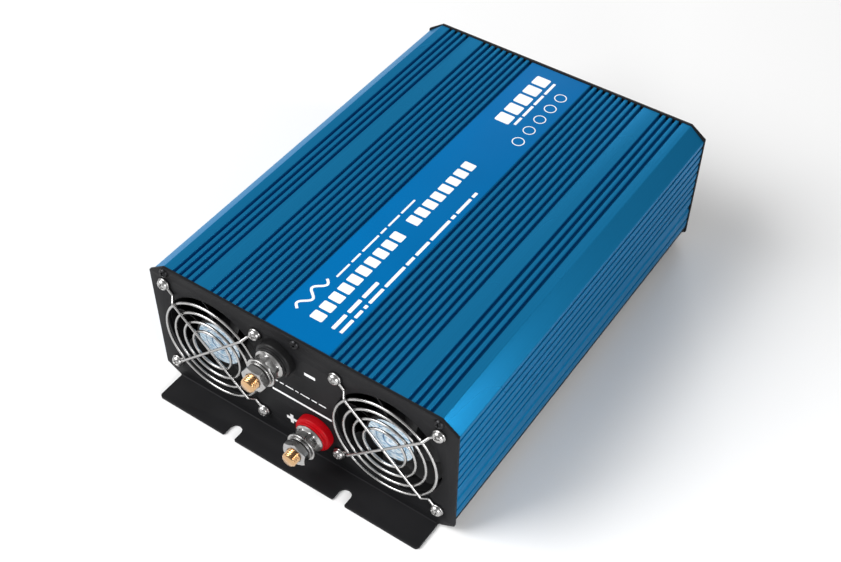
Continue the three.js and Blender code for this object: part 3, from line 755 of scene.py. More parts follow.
def folded(shell):
    """Folds a flat plate's lower edge outwards into a foot. Above the bend the drawing's height is z. Round
    the bend, height becomes an angle about a line one bend radius out, and below it a run outwards."""
    points, faces = shell
    build = bmesh.new()
    verts = [build.verts.new(p) for p in points.tolist()]
    for face in faces:
        build.faces.new([verts[i] for i in face])
    bmesh.ops.remove_doubles(build, verts=build.verts, dist=1e-4)
    for height in np.linspace(BEND, BEND_END, 9):
        geometry = [*build.verts, *build.edges, *build.faces]
        bmesh.ops.bisect_plane(build, geom=geometry, plane_co=(0, height, 0), plane_no=(0, 1, 0), dist=1e-5)
    build.verts.index_update()
    flat = np.array([v.co for v in build.verts])
    faces = [[v.index for v in face.verts] for face in build.faces]
    build.free()
    x, height, depth = flat[:, 0], flat[:, 1], -flat[:, 2]
    angle = np.clip((BEND - height) / NEUTRAL, 0, np.pi / 2)
    radius = NEUTRAL + depth
    centre_y = SHEET / 2 - NEUTRAL
    run = np.minimum(0, height - BEND_END)
    rise = np.maximum(0, height - BEND)
    y = centre_y + radius * np.cos(angle) + run
    z = BEND - radius * np.sin(angle) + rise
    return np.stack([x, y, z], 1), faces


def plate_outline():
    """The plate and its foot laid flat: slanted corners above, and two open slots in the foot's edge."""
    toe = BEND_END - (FOOT - NEUTRAL + SHEET / 2)
    slot_x, slot_radius, slot_depth = 43.0, 4.4, 10.9
    start = toe + slot_depth - slot_radius
    arc = np.linspace(np.pi, 0, 17)
    right = [[HALF - 11.5, TOP], [HALF, TOP - 8], [HALF, 8], [FLOOR_HALF + 0.6, 1.4], [FLOOR_HALF, 0.4]]
    right += [[FLOOR_HALF, toe], [slot_x + slot_radius, toe]]
    right = filleted(right, [0.8, 0.8, 0.8, 0.8, 0.4, 2.5, 0.4], 6, closed=False)[:-1]
    right = np.concatenate([[[0, TOP]], right])
    mouth = [[slot_x + slot_radius + 0.5, toe], [slot_x + slot_radius, toe + 0.5]]
    curve = np.stack([slot_x - slot_radius * np.cos(arc), start + slot_radius * np.sin(arc)], 1)
    close = [[slot_x - slot_radius, toe + 0.5], [slot_x - slot_radius - 0.5, toe]]
    half = np.concatenate([right, mouth, curve, close])
    return np.concatenate([half, mirrored(half[1:])])


def screw_holes():
    """Clearance holes for an end plate's three screws."""
    return [circle(x, SCREWS_Z, 1.8, 20) for x in SCREWS_X]


def front_holes():
    """Openings of the front plate: fan bores, guard screws and battery studs."""
    outlines = [circle(side * FAN_X, FAN_Z, FAN_BORE, 128) for side in (-1, 1)]
    for side in (-1, 1):
        for dx in (-FAN_SCREW, FAN_SCREW):
            for dz in (-FAN_SCREW, FAN_SCREW):
                outlines.append(circle(side * FAN_X + dx, FAN_Z + dz, 2.3, 24))
    outlines += [circle(*pole_place(name), STUD_HOLE, 48) for name in POLES]
    return outlines


class INVERTER_OT_front_plate(bpy.types.Operator):
    """Front end plate with its folded foot and its printed signs"""

    bl_idname = "inverter.front_plate"
    bl_label = "Front plate"

    def execute(self, context):
        blank = sheet([plate_outline(), *front_holes(), *screw_holes()], SHEET, 0.25)
        piece("front_plate_sheet", [folded(blank)], powder_coat(), ["front_plate"], place=at_front)
        rule = rectangle(-21, 24, 43.4, 45.2)
        minus = rectangle(5.5, 13.5, 74.4, 76.8)
        plus = [[-1.2, -4], [1.2, -4], [1.2, -1.2], [4, -1.2], [4, 1.2], [1.2, 1.2]]
        plus += [[1.2, 4], [-1.2, 4], [-1.2, 1.2], [-4, 1.2], [-4, -1.2], [-1.2, -1.2]]
        plus = np.array(plus) + np.array([-7.6, 23.3])
        caption = blocks(-20.5, [4.5, 3, 6, 2.5, 7, 4, 5.5], 1.4, 53.4, 54.4, 0.3)
        marks = [stood_up(sheet([outline], INK, 0.0), -0.01) for outline in (rule, minus, plus, *caption)]
        piece("front_plate_print", marks, ink(), place=at_front)
        return {"FINISHED"}


# Places on the AC end, in the rear plate's own x and z, and the openings there: a round one's radius, and
# half the width and half the height of the others
SOCKETS_X = (-76, -20)
SOCKET_Z = 47
SOCKET_HOLE = 22.8
SWITCH = (48, 62)
SWITCH_HOLE = (11, 14.2)
LAMPS = ((80, 74), (80, 60))
LAMP_HOLE = 2.7
USB = (80, 34)
USB_HOLE = (7.4, 3.8)
EARTH = (48, 20)
EARTH_HOLE = 2.8
VENTS_X = range(-96, -5, 6)
VENT_BOTTOM, VENT_TOP, VENT_HALF = 78, 90, 1.5


class INVERTER_OT_rear_plate(bpy.types.Operator):
    """Rear end plate with its outlets' openings and the air slots"""

    bl_idname = "inverter.rear_plate"
    bl_label = "Rear plate"

    def execute(self, context):
        outlines = [plate_outline(), *screw_holes()]
        outlines += [circle(x, SOCKET_Z, SOCKET_HOLE, 96) for x in SOCKETS_X]
        outlines.append(centred(*SWITCH_HOLE, 0.6, SWITCH))
        outlines += [circle(x, z, LAMP_HOLE, 32) for x, z in LAMPS]
        outlines.append(centred(*USB_HOLE, 0.4, USB))
        outlines.append(circle(*EARTH, EARTH_HOLE, 24))
        for x in VENTS_X:
            outlines.append(rectangle(x - VENT_HALF, x + VENT_HALF, VENT_BOTTOM, VENT_TOP, VENT_HALF - 0.05))
        blank = sheet(outlines, SHEET, 0.25)
        piece("rear_plate_sheet", [folded(blank)], powder_coat(), ["rear_plate"], place=at_rear)
        return {"FINISHED"}


# Screws


def cross_screw(head_radius, head, shank, length, recess):
    """A pan-headed screw with a cross recess. Rows run out over the domed head, under it and down the
    shank; inside the cross the head's surface is lowered, most at the centre."""
    out = np.linspace(0, 1, 22)
    dome = head * (1 - out**3.2) ** 0.62 - head
    angle = np.linspace(0, 2 * np.pi, 64, endpoint=False)[:, None]
    radius = out[None, :] * head_radius
    x, z = radius * np.cos(angle), radius * np.sin(angle)
    reach, width = recess * 0.5, recess * 0.13
    arm = np.minimum(np.abs(x), np.abs(z))
    inside = np.clip((width - arm) / 0.14 + 0.5, 0, 1) * np.clip((reach - radius) / 0.25, 0, 1)
    sunk = inside * head * (0.78 - 0.45 * np.clip(radius / reach, 0, 1))
    top = around_y(radius, -head - dome + sunk, angle)
    below = np.array([[head_radius * 0.985, 0.0], [shank, 0.0], [shank, length - 0.6], [0, length]])
    side = around_y(below[:, 0], below[:, 1], angle)
    return surface(np.concatenate([top, side], 1), wrap_rows=True)


def spun(shell, degrees):
    """Turns a piece about its own y axis."""
    points, faces = shell
    angle = np.radians(degrees)
    x = points[:, 0] * np.cos(angle) + points[:, 2] * np.sin(angle)
    z = points[:, 2] * np.cos(angle) - points[:, 0] * np.sin(angle)
    return np.stack([x, points[:, 1], z], 1), faces


class INVERTER_OT_plate_screws(bpy.types.Operator):
    """Black screws along the top edge of both end plates"""

    bl_idname = "inverter.plate_screws"
    bl_label = "Plate screws"

    def execute(self, context):
        for end, place in (("front", at_front), ("rear", at_rear)):
            for index, x in enumerate(SCREWS_X):
                screw = spun(cross_screw(3.2, 2.0, 1.45, 11, 3.6), 20 + 31 * index)
                node = f"{end}_plate_screw_{index + 1}"
                seat = (x, -0.02, SCREWS_Z)
                piece(f"{node}_head", [screw], black_oxide(), [node], place=place, at=seat)
        return {"FINISHED"}


# Fans


FAN_HALF = 40.0
FAN_DEPTH = 25.0
FAN_FRONT = SHEET + 0.2
FAN_BACK = FAN_FRONT + FAN_DEPTH
HUB_BACK = 0.8  # how far the hub sits behind the frame's front
HUB = 18.0
FOIL = 16.4
BLADE_ROOT = 17.6
BLADE_TIP = 36.4
FANS = (("left", -FAN_X), ("right", FAN_X))


def fan_corners():
    """Where a fan's screws stand about its axis, clockwise from the upper left."""
    return [(x * FAN_SCREW, z * FAN_SCREW) for x, z in ((-1, 1), (1, 1), (1, -1), (-1, -1))]


class INVERTER_OT_fan_frames(bpy.types.Operator):
    """Fan frames with their bores, motor bases and struts"""

    bl_idname = "inverter.fan_frames"
    bl_label = "Fan frames"

    def execute(self, context):
        for side, x in FANS:
            outlines = [centred(FAN_HALF, FAN_HALF, 4), circle(0, 0, FAN_BORE, 128)]
            outlines += [circle(dx, dz, 2.2, 20) for dx, dz in fan_corners()]
            housing = stood_up(sheet(outlines, FAN_DEPTH, 0.5), (FAN_FRONT + FAN_BACK) / 2)
            base = [[1.7, FAN_BACK - 4], [17, FAN_BACK - 4], [17, FAN_BACK], [1.7, FAN_BACK]]
            motor_base = turned(closed_profile(filleted(base, [0.1, 0.8, 0.8, 0.1])))
            wall = [[1.7, 7.2], [4.5, 7.2], [4.5, FAN_BACK - 3.9], [1.7, FAN_BACK - 3.9]]
            bearing_tube = turned(closed_profile(wall), count=24)
            shells = [housing, motor_base, bearing_tube]
            for turn in (0, 90, 180, 270):
                arm = stood_up(sheet([rectangle(16, 38.6, -1.7, 1.7)], 3.2, 0.5), FAN_BACK - 1.7)
                shells.append(spun(arm, turn))
            node = f"fan_frame_{side}"
            piece(f"{node}_housing", shells, black_plastic(), [node], place=at_front, at=(x, 0, FAN_Z))
        return {"FINISHED"}


def fan_blade(turn):
    """One curved blade. Across its chord t runs 0 to 1: depth is t times the rotor's depth and the sideways
    run is chord (t - 1/2) plus camber sin(pi t), wrapped onto a circle of the blade's radius; thickness
    falls to nothing at both edges. The chord widens from hub to tip."""
    stations = np.linspace(0, 1, 10)[:, None]
    radius = BLADE_ROOT + (BLADE_TIP - BLADE_ROOT) * stations
    t = (1 - np.cos(np.linspace(0, np.pi, 13))) / 2
    around = np.concatenate([t, t[::-1][1:-1]])[None, :]
    upper = np.concatenate([np.ones(13), -np.ones(11)])[None, :]
    thick = 0.75 * np.sqrt(np.clip(1 - (2 * around - 1) ** 4, 0, 1)) + 0.02
    chord = 11 + 9 * stations
    sideways = chord * (around - 0.5) + 2.6 * np.sin(np.pi * around) + upper * thick * 0.75
    front = FAN_FRONT + HUB_BACK + 0.5
    depth = front + 14.4 * around - upper * thick * 0.65 + 1.2 * stations * (1 - around)
    angle = np.radians(turn) + sideways / radius + 0.25 * stations**2
    return surface(around_y(radius, depth, angle), wrap_columns=True, caps=True)


def foil_print(name, x):
    """The hub's foil disc: pale silver blue, with two printed rings about the fan's own axis and darker
    streaking painted into its colour as painted reflections of crumpled foil.
    """
    finish, tree, shader = new_finish(name, (0.62, 0.74, 0.84), 0.35, 0.1)
    if tree:
        value = tree.nodes.new("ShaderNodeTexCoord").outputs["Object"]
        axis = (x * MM, 0, FAN_Z * MM)
        for operation, operand in (("SUBTRACT", axis), ("MULTIPLY", (1, 0, 1)), ("LENGTH", None)):
            step = tree.nodes.new("ShaderNodeVectorMath")
            step.operation = operation
            if operand:
                step.inputs[1].default_value = operand
            tree.links.new(value, step.inputs[0])
            value = step.outputs["Value" if operation == "LENGTH" else "Vector"]
        share = tree.nodes.new("ShaderNodeMath")
        share.operation = "DIVIDE"
        share.inputs[1].default_value = FOIL * MM
        tree.links.new(value, share.inputs[0])
        ramp = tree.nodes.new("ShaderNodeValToRGB")
        ramp.color_ramp.interpolation = "CONSTANT"
        stops = ramp.color_ramp.elements
        stops.remove(stops[1])
        stops[0].color = (0.86, 0.92, 0.97, 1)
        pale = (0.84, 0.91, 0.96, 1)
        rings = ((0.30, 0.36, (0.12, 0.24, 0.40, 1)), (0.62, 0.66, (0.2, 0.34, 0.5, 1)))
        for inner, outer, colour in rings:
            stops.new(inner).color = colour
            stops.new(outer).color = pale
        tree.links.new(share.outputs[0], ramp.inputs["Fac"])
        # Painted reflection: darker streaking from a noise is multiplied into the foil's colour and stands
        # for the reflections of crumpled foil
        painted_reflection_streaks = tree.nodes.new("ShaderNodeMix")
        painted_reflection_streaks.data_type = "RGBA"
        painted_reflection_streaks.blend_type = "MULTIPLY"
        painted_reflection_streaks.inputs["B"].default_value = (0.32, 0.52, 0.68, 1)
        reflection_streak_noise = spread(tree, object_noise(tree, 260, 2, (1, 1, 2.5)), -0.4, 1.3)
        tree.links.new(reflection_streak_noise, painted_reflection_streaks.inputs["Factor"])
        tree.links.new(ramp.outputs["Color"], painted_reflection_streaks.inputs["A"])
        tree.links.new(painted_reflection_streaks.outputs["Result"], shader.inputs["Base Color"])
        bumped(tree, shader, object_noise(tree, 700, 2), 0.2, 0.04)
    return finish, "label_film"


class INVERTER_OT_fan_rotors(bpy.types.Operator):
    """Fan rotors: a cup-shaped hub with curved blades, its shaft and its foil disc"""

    bl_idname = "inverter.fan_rotors"
    bl_label = "Fan rotors"

    def execute(self, context):
        front = FAN_FRONT + HUB_BACK
        for side, x in FANS:
            hub = [[0, front + 0.35], [FOIL, front + 0.35], [16.6, front], [HUB, front], [HUB, front + 16]]
            hub += [[16.5, front + 16], [16.5, front + 1.6], [1.5, front + 1.6], [1.5, FAN_BACK - 1]]
            hub += [[0, FAN_BACK - 1]]
            radius = [0, 0.1, 0.1, 1.3, 0.3, 0.3, 0.5, 0.3, 0.2, 0]
            shells = [turned(filleted(hub, radius, closed=False), count=96)]
            turn = 360 / sizes().blades
            shells += [fan_blade(index * turn + 12) for index in range(sizes().blades)]
            seat = {"body": f"{side}_rotor", "place": at_front, "at": (x, 0, FAN_Z)}
            piece(f"fan_rotor_{side}_hub", shells, black_plastic(), [f"fan_rotor_{side}"], **seat)
            edge = FOIL - 0.3
            foil = [[0, front + 0.18], [edge, front + 0.18], [edge, front + 0.34], [0, front + 0.34]]
            disc = turned(filleted(foil, [0, 0.06, 0.06, 0], closed=False), count=96)
            piece(f"fan_foil_{side}", [disc], foil_print(f"hub_foil_{side}", x), **seat)
        return {"FINISHED"}


GUARD_RINGS = (36.4, 29.2, 22.0, 14.8)
RING_Y = -3.3
LEG_Y = -4.8
EYELET = 3.4


def guard_ring(radius, y, wire):
    """One ring of guard wire about the fan axis."""
    angle = np.linspace(0, 2 * np.pi, 128, endpoint=False)
    return tube(around_y(radius, y, angle), wire, (0, 1, 0), 14, closed=True)


def guard_leg(turn, wire):
    """A leg from the middle over the rings that steps down to the plate and runs on to its eyelet."""
    reach = FAN_SCREW * np.sqrt(2)
    low = -wire - 0.05
    points = [[-0.6, LEG_Y, 0], [37.6, LEG_Y, 0], [41.6, low, 0], [reach - EYELET + 0.2, low, 0]]
    path = filleted(points, [0, 1.8, 1.8, 0], 6, closed=False)
    return spun(tube(path, wire, (0, 0, 1), 14), -turn)


class INVERTER_OT_fan_guards(bpy.types.Operator):
    """Wire finger guards: four rings on four legs that end in eyelets"""

    bl_idname = "inverter.fan_guards"
    bl_label = "Fan guards"

    def execute(self, context):
        wire = sizes().wire / MM / 2
        for side, x in FANS:
            shells = [guard_ring(radius, RING_Y, wire) for radius in GUARD_RINGS]
            shells += [guard_leg(turn, wire) for turn in (45, 135, 225, 315)]
            eyelet = guard_ring(EYELET, -wire - 0.05, wire)
            shells += [shifted(eyelet, dx, 0, dz) for dx, dz in fan_corners()]
            node = f"fan_guard_{side}"
            piece(f"{node}_wire", shells, nickel(), [node], place=at_front, at=(x, 0, FAN_Z))
        return {"FINISHED"}


class INVERTER_OT_guard_screws(bpy.types.Operator):
    """Bright screws through the guards' eyelets"""

    bl_idname = "inverter.guard_screws"
    bl_label = "Guard screws"

    def execute(self, context):
        wire = sizes().wire / MM
        for side, x in FANS:
            for index, (dx, dz) in enumerate(fan_corners()):
                screw = spun(cross_screw(3.9, 2.4, 1.8, 16, 4.6), 17 + 53 * index)
                node = f"fan_screw_{side}_{index + 1}"
                seat = (x + dx, -wire - 0.1, FAN_Z + dz)
                piece(f"{node}_head", [screw], nickel(), [node], place=at_front, at=seat)
        return {"FINISHED"}


# Battery terminals


ACROSS_FLATS = 16.0
WASHER = 10.2  # radius of the flat washer and of the clamp nut's flange
STUD = 5.0  # the stud's radius


def threaded_rod(radius, pitch, depth, tip, root):
    """A stud's shank with a real thread from its tip to its root. At each height and angle the radius is
    the stud's less a triangle wave of height over pitch plus the angle's share of a turn, and a cone
    takes the tip down."""
    rows = int((root - tip) / pitch * 8)
    count = 40
    y = np.linspace(tip, root, rows)[None, :]
    angle = np.linspace(0, 2 * np.pi, count, endpoint=False)[:, None]
    wave = np.abs(((y / pitch + angle / (2 * np.pi)) % 1) * 2 - 1)
    thread = radius - depth * np.clip(wave * 1.3 - 0.15, 0, 1)
    cone = radius - 1.0 + (y - tip) * 1.2
    size = np.minimum(thread, cone)
    centre_tip = np.broadcast_to([0, tip, 0], (count, 1, 3))
    centre_root = np.broadcast_to([0, root, 0], (count, 1, 3))
    points = np.concatenate([centre_tip, around_y(size, y, angle), centre_root], 1)
    return surface(points, wrap_rows=True)


def hex_block(across_flats, y0, y1, bore, flange=0.0):
    """A hexagon nut or head between two heights. At each angle the side stands at the hexagon's radius, and
    30 degree chamfers run from a round face up to it; a bore of zero closes it into a bolt head."""
    count = 96
    angle = np.linspace(0, 2 * np.pi, count, endpoint=False)
    edge = hexagon_radius(angle, across_flats)
    face = np.full(count, across_flats / 2 * 0.965)
    drop = (edge - face) * np.tan(np.radians(30))
    hole = np.full(count, bore)
    columns = [(hole, y0 + 0.35), (hole + 0.35 * (bore > 0), y0), (face, y0), (edge, y0 + drop)]
    if flange:
        rim = np.full(count, flange)
        slope = np.full(count, across_flats / 2 + 0.9)
        columns += [(edge, y1 - 2.2), (slope, y1 - 1.5), (rim - 0.3, y1 - 0.9)]
        columns += [(rim, y1 - 0.6), (rim, y1 - 0.15), (rim - 0.15, y1)]
    else:
        columns += [(edge, y1 - drop), (face, y1)]
    columns += [(hole + 0.35 * (bore > 0), y1), (hole, y1 - 0.35)]
    radius = np.stack([r for r, _ in columns], 1)
    y = np.stack([np.broadcast_to(h, count) for _, h in columns], 1)
    return surface(around_y(radius, y, angle[:, None]), wrap_rows=True, wrap_columns=bore > 0)


def flat_washer(outer, inner, y0, y1):
    """A flat ring between two depths, with its edges eased."""
    corners = [[inner, y0], [outer, y0], [outer, y1], [inner, y1]]
    return turned(closed_profile(filleted(corners, [0.2, 0.35, 0.35, 0.2], 3)), count=72)


def spring_washer(outer, inner, y0, y1):
    """A split ring of square wire. Its section goes round most of a turn while rising by a third of its
    thickness, so the two cut ends stand apart."""
    rise = 0.35 * (y1 - y0)
    section = filleted([[inner, y0], [outer, y0], [outer, y1 - rise], [inner, y1 - rise]], 0.25, 3)
    angle = np.radians(np.linspace(6, 351, 90))[:, None]
    height = section[None, :, 1] + rise * angle / (2 * np.pi)
    return surface(around_y(section[None, :, 0], height, angle), wrap_columns=True, caps=True)


def insulator_profile():
    """A moulded bush: wide flange on the plate, a narrower tier before it, and a boss through the hole."""
    bore = STUD + 0.2
    boss = STUD_HOLE - 0.3
    tier, flange = 11, 12.8
    corners = [[bore, -7.5], [tier, -7.5], [tier, -5.5], [flange, -5.5], [flange, -0.02], [boss, -0.02]]
    corners += [[boss, SHEET], [bore, SHEET]]
    return closed_profile(filleted(corners, [0.2, 0.7, 0.6, 1.4, 0.3, 0.2, 0.3, 0.2], 5))


class INVERTER_OT_insulators(bpy.types.Operator):
    """Moulded insulators of the battery studs, outside and inside the plate"""

    bl_idname = "inverter.insulators"
    bl_label = "Insulators"

    def execute(self, context):
        for name, look in zip(POLES, (black_plastic(), red_plastic())):
            x, z = pole_place(name)
            seat = {"place": at_front, "at": (x, 0, z)}
            bush = turned(insulator_profile(), count=96)
            piece(f"{name}_insulator_bush", [bush], look, [f"{name}_insulator"], **seat)
            washer = flat_washer(10.5, STUD + 0.15, 2.1, 5.4)
            piece(f"{name}_insulator_washer", [washer], look, [f"{name}_inner_insulator"], **seat)
        return {"FINISHED"}


class INVERTER_OT_studs(bpy.types.Operator):
    """Threaded brass studs, headed inside the casing"""

    bl_idname = "inverter.studs"
    bl_label = "Battery studs"

    def execute(self, context):
        pitch = sizes().thread_pitch / MM
        for name in POLES:
            x, z = pole_place(name)
            rod = threaded_rod(STUD, pitch, 0.75, -STUD_REACH, 7.9)
            head = hex_block(ACROSS_FLATS, 7.7, 13, 0)
            seat = {"place": at_front, "at": (x, 0, z)}
            piece(f"{name}_stud_thread", [rod, head], brass(), [f"{name}_stud"], **seat, sharp=40)
        return {"FINISHED"}


class INVERTER_OT_nuts(bpy.types.Operator):
    """Nuts and washers of the battery studs"""

    bl_idname = "inverter.nuts"
    bl_label = "Nuts and washers"

    def execute(self, context):
        bore = STUD + 0.15
        for name in POLES:
            x, z = pole_place(name)
            # Each nut stands at its own angle, as left by a spanner; washers and nuts follow outwards
            turns = (11, 34) if name == "negative" else (26, 5)
            parts = {
                "clamp_nut": spun(hex_block(ACROSS_FLATS, -14.4, -7.6, bore, WASHER), turns[0]),
                "flat_washer": flat_washer(WASHER, bore, -16.2, -14.5),
                "spring_washer": spun(spring_washer(8.8, bore, -18.1, -16.3), 140 + turns[0]),
                "cable_nut": spun(hex_block(ACROSS_FLATS, -23.2, -18.2, bore), turns[1]),
            }
            for part, shell in parts.items():
                node = f"{name}_{part}"
                piece(f"{node}_steel", [shell], nickel(), [node], place=at_front, at=(x, 0, z))
        return {"FINISHED"}


# Inside


class INVERTER_OT_inside(bpy.types.Operator):
    """Finishes for the board and what stands on it"""

    bl_idname = "inverter.inside"
    bl_label = "Inside"

    def execute(self, context):
        board = plastic_finish("solder_mask", (0.02, 0.16, 0.07), 0.35, 900, 0.2)
        bare = metal_finish("mill_aluminium", (0.6, 0.61, 0.62), 0.38, (1, 0.05, 1))
        winding = metal_finish("enamelled_copper", (0.42, 0.16, 0.07), 0.3, (1, 1, 12), 400, 0.4)
        strip = metal_finish("copper_strip", (0.66, 0.3, 0.17), 0.3, (1, 0.1, 1))
        sleeve = plastic_finish("printed_sleeve", (0.01, 0.03, 0.12), 0.25, 800, 0.05)
        refinish("main_board", board)
        for side in ("left", "right"):
            refinish(f"heatsink_{side}", bare)
        for node in ("transformer_1", "transformer_2", "transformer_3", "output_choke"):
            refinish(node, winding)
        for node in ("input_capacitor_1", "input_capacitor_2", "output_capacitor"):
            refinish(node, sleeve)
        for name in POLES:
            refinish(f"{name}_busbar", strip)
        return {"FINISHED"}


# The AC end


class INVERTER_OT_outlets(bpy.types.Operator):
    """Round mains outlets: face ring, deep cup, insert with pin holes, a centre screw and earth clips"""

    bl_idname = "inverter.outlets"
    bl_label = "Mains outlets"

    def execute(self, context):
        for index, x in enumerate(SOCKETS_X):
            mouth, deep, body, back = 19.5, 13.4, 22.6, 28
            corners = [[0, deep], [mouth, deep], [mouth, -2], [20.8, -3], [24.6, -3], [25.5, -1.8]]
            corners += [[25.5, -0.02], [body, -0.02], [body, back], [0, back]]
            radius = [0, 0.6, 0.6, 0.8, 0.9, 0.9, 0.2, 0.2, 1.0, 0]
            cup = turned(filleted(corners, radius, 5, closed=False), count=128)
            pin_holes = [circle(side * 9.5, 0, 2.6, 32) for side in (-1, 1)]
            insert = sheet([circle(0, 0, mouth - 0.1, 128), *pin_holes, circle(0, 0, 1.8, 24)], 1.4, 0.2)
            node = f"ac_socket_{index + 1}"
            seat = {"place": at_rear, "at": (x, 0, SOCKET_Z)}
            piece(f"{node}_moulding", [cup, stood_up(insert, 12.7)], black_plastic(), [node], **seat)
            screw = shifted(spun(cross_screw(1.7, 0.5, 0.8, 1.0, 2.6), 30), 0, 12.6, 0)
            clip = stood_up(sheet([centred(2.2, 0.5, 0.2)], 10, 0.15), 6.5)
            metal = [screw, shifted(clip, z=18.6), shifted(clip, z=-18.6)]
            piece(f"{node}_clips", metal, nickel(), **seat)
        return {"FINISHED"}


ROCKER_TILT = 10.0  # degrees at rest, half of what it rocks through
ROCKER_FACE = -5.0  # where the valley between its two faces stands, out from its pivot
ROCKER_HALF = 11.8
PIVOT_Y = 1


def facing_face(shell, half):
    """Lays a flat mark on the rocker's upper or lower face, which slopes by 1 over its half height from the
    valley between them."""
    points, faces = stood_up(shell)
    points[:, 1] += ROCKER_FACE - 0.03 - half * points[:, 2] / ROCKER_HALF
    return points, faces


def rocked(shell):
    """Tilts a rocker piece about its pivot to its rest position."""
    points, faces = shell
    angle = np.radians(ROCKER_TILT)
    y = points[:, 1] * np.cos(angle) - points[:, 2] * np.sin(angle)
    z = points[:, 1] * np.sin(angle) + points[:, 2] * np.cos(angle)
    return np.stack([points[:, 0], y, z], 1), faces


class INVERTER_OT_power_switch(bpy.types.Operator):
    """Power switch: bezel, body and the rocker with its on and off marks"""

    bl_idname = "inverter.power_switch"
    bl_label = "Power switch"

    def execute(self, context):
        x, z = SWITCH
        well = centred(9.3, 12.8, 0.4)
        body = centred(10.8, 14, 0.6)
        bezel = stood_up(sheet([centred(12.4, 15.6, 1.5), well], 1.98, 0.45), -1.01)
        walls = stood_up(sheet([body, well], 12.4, 0.1), 5.9)
        back = stood_up(sheet([body], 8, 0.3), 16)
        housing = ["switch_housing"]
        piece("switch_body", [bezel, walls, back], black_plastic(), housing, place=at_rear, at=(x, 0, z))
        crest, half = ROCKER_FACE - 1, ROCKER_HALF
        profile = [[crest, -half], [ROCKER_FACE, 0], [crest, half]]
        profile += [[-0.5, half], [4, 6], [4, -6], [-0.5, -half]]
        cap = facing_side(sheet([filleted(profile, [1.0, 6, 1.0, 0.6, 0.6, 0.6, 0.6], 6)], 18, 0.5, 3))
        pin = tube([[-10.5, 0, 0], [10.5, 0, 0]], 1.5, (0, 0, 1), 24)
        seat = {"body": "rocker", "place": at_rear, "at": (x, PIVOT_Y, z)}
        piece("switch_rocker_cap", [rocked(cap), rocked(pin)], red_plastic(), ["switch_rocker"], **seat)
        ring = facing_face(sheet([circle(0, -6.2, 2.3, 48), circle(0, -6.2, 1.7, 48)], INK, 0.0), -1)
        bar = facing_face(sheet([rectangle(-0.35, 0.35, 4.0, 8.4)], INK, 0.0), 1)
        piece("switch_rocker_marks", [rocked(ring), rocked(bar)], ink(), **seat)
        return {"FINISHED"}


class INVERTER_OT_lamps(bpy.types.Operator):
    """Power and fault lamps: domed lenses in plated bezels"""

    bl_idname = "inverter.lamps"
    bl_label = "Lamps"

    def execute(self, context):
        tints = {"power": ((0.03, 0.42, 0.09), "green_lens"), "fault": ((0.5, 0.02, 0.02), "red_lens")}
        for (x, z), (name, (colour, slot)) in zip(LAMPS, tints.items()):
            dome = np.linspace(0, np.pi / 2, 10)
            crown = np.stack([2.4 * np.sin(dome), -1.2 - 2.2 * np.cos(dome)], 1)
            lens = turned(np.concatenate([crown, [[2.4, 9], [0, 9]]]))
            clear = {"Transmission_Weight": 0.35, "Coat_Weight": 0.5}
            look = plastic_finish(f"{name}_lens", colour, 0.12, 1500, 0.02, **clear), slot
            seat = {"place": at_rear, "at": (x, 0, z)}
            piece(f"{name}_lamp_lens", [lens], look, [f"{name}_lamp"], **seat)
            bezel = [[2.45, -1.5], [3.0, -1.5], [3.7, -0.02], [2.45, -0.02]]
            ring = turned(closed_profile(filleted(bezel, [0.1, 0.3, 0.2, 0.1], 4)))
            piece(f"{name}_lamp_bezel", [ring], nickel(), **seat)
        return {"FINISHED"}


class INVERTER_OT_usb(bpy.types.Operator):
    """USB charging outlet: face, steel shell and tongue"""

    bl_idname = "inverter.usb"
    bl_label = "USB outlet"

    def execute(self, context):
        x, z = USB
        mouth = centred(6.3, 2.6, 0.3)
        face = sheet([centred(10, 6.5, 1.5), mouth], 1.46, 0.3)
        tongue = sheet([rectangle(-5.4, 5.4, -0.2, 1.7, 0.2)], 12, 0.1)
        seat = {"place": at_rear, "at": (x, 0, z)}
        shells = [stood_up(face, -0.75), stood_up(tongue, 7)]
        piece("usb_face", shells, black_plastic(), ["usb_socket"], **seat)
        outer = centred(6.9, 3.2, 0.5)
        shells = [stood_up(sheet([outer, mouth], 12.4, 0.1), 6.3), stood_up(sheet([outer], 3.4, 0.1), 14.2)]
        piece("usb_shell", shells, nickel(), **seat)
        return {"FINISHED"}


class INVERTER_OT_earth(bpy.types.Operator):
    """Earth stud and its nut"""

    bl_idname = "inverter.earth"
    bl_label = "Earth stud"

    def execute(self, context):
        x, z = EARTH
        seat = {"place": at_rear, "at": (x, 0, z)}
        shells = [threaded_rod(2.5, 0.8, 0.4, -13, 3), hex_block(8, 2.1, 5.6, 0)]
        piece("earth_stud_thread", shells, nickel(), ["earth_stud"], **seat, sharp=40)
        nut = spun(hex_block(8, -4.2, -0.1, 2.6), 12)
        piece("earth_nut_steel", [nut], nickel(), ["earth_nut"], **seat)
        return {"FINISHED"}


# Stage


CAMERA_PLACE = (0.3312, -0.5143, 0.6613)
CAMERA_RIGHT = (0.8253, 0.56463, 0.00864)
CAMERA_UP = (-0.41291, 0.59296, 0.69131)
CAMERA_LENS = 55.6
FLOOR = 6.0  # half the floor's side, in metres
SKY = 0.27
# Each light's place, the point it faces, its side in metres and its power in watts
LIGHTS = {
    "key_light": ((-1.2, -1.1, 1.5), (0, 0, 0.05), 1.5, 60),
    "corner_light": ((1.4, 0.6, 1.0), (0.1, -0.1, 0.08), 0.36, 4),
    "front_light": ((0.5, -0.42, 0.22), (0.11, -0.14, 0.05), 0.2, 1.8),
    "back_light": ((-0.5, 1.7, 0.55), (0, 0.15, 0.05), 0.8, 12),
}


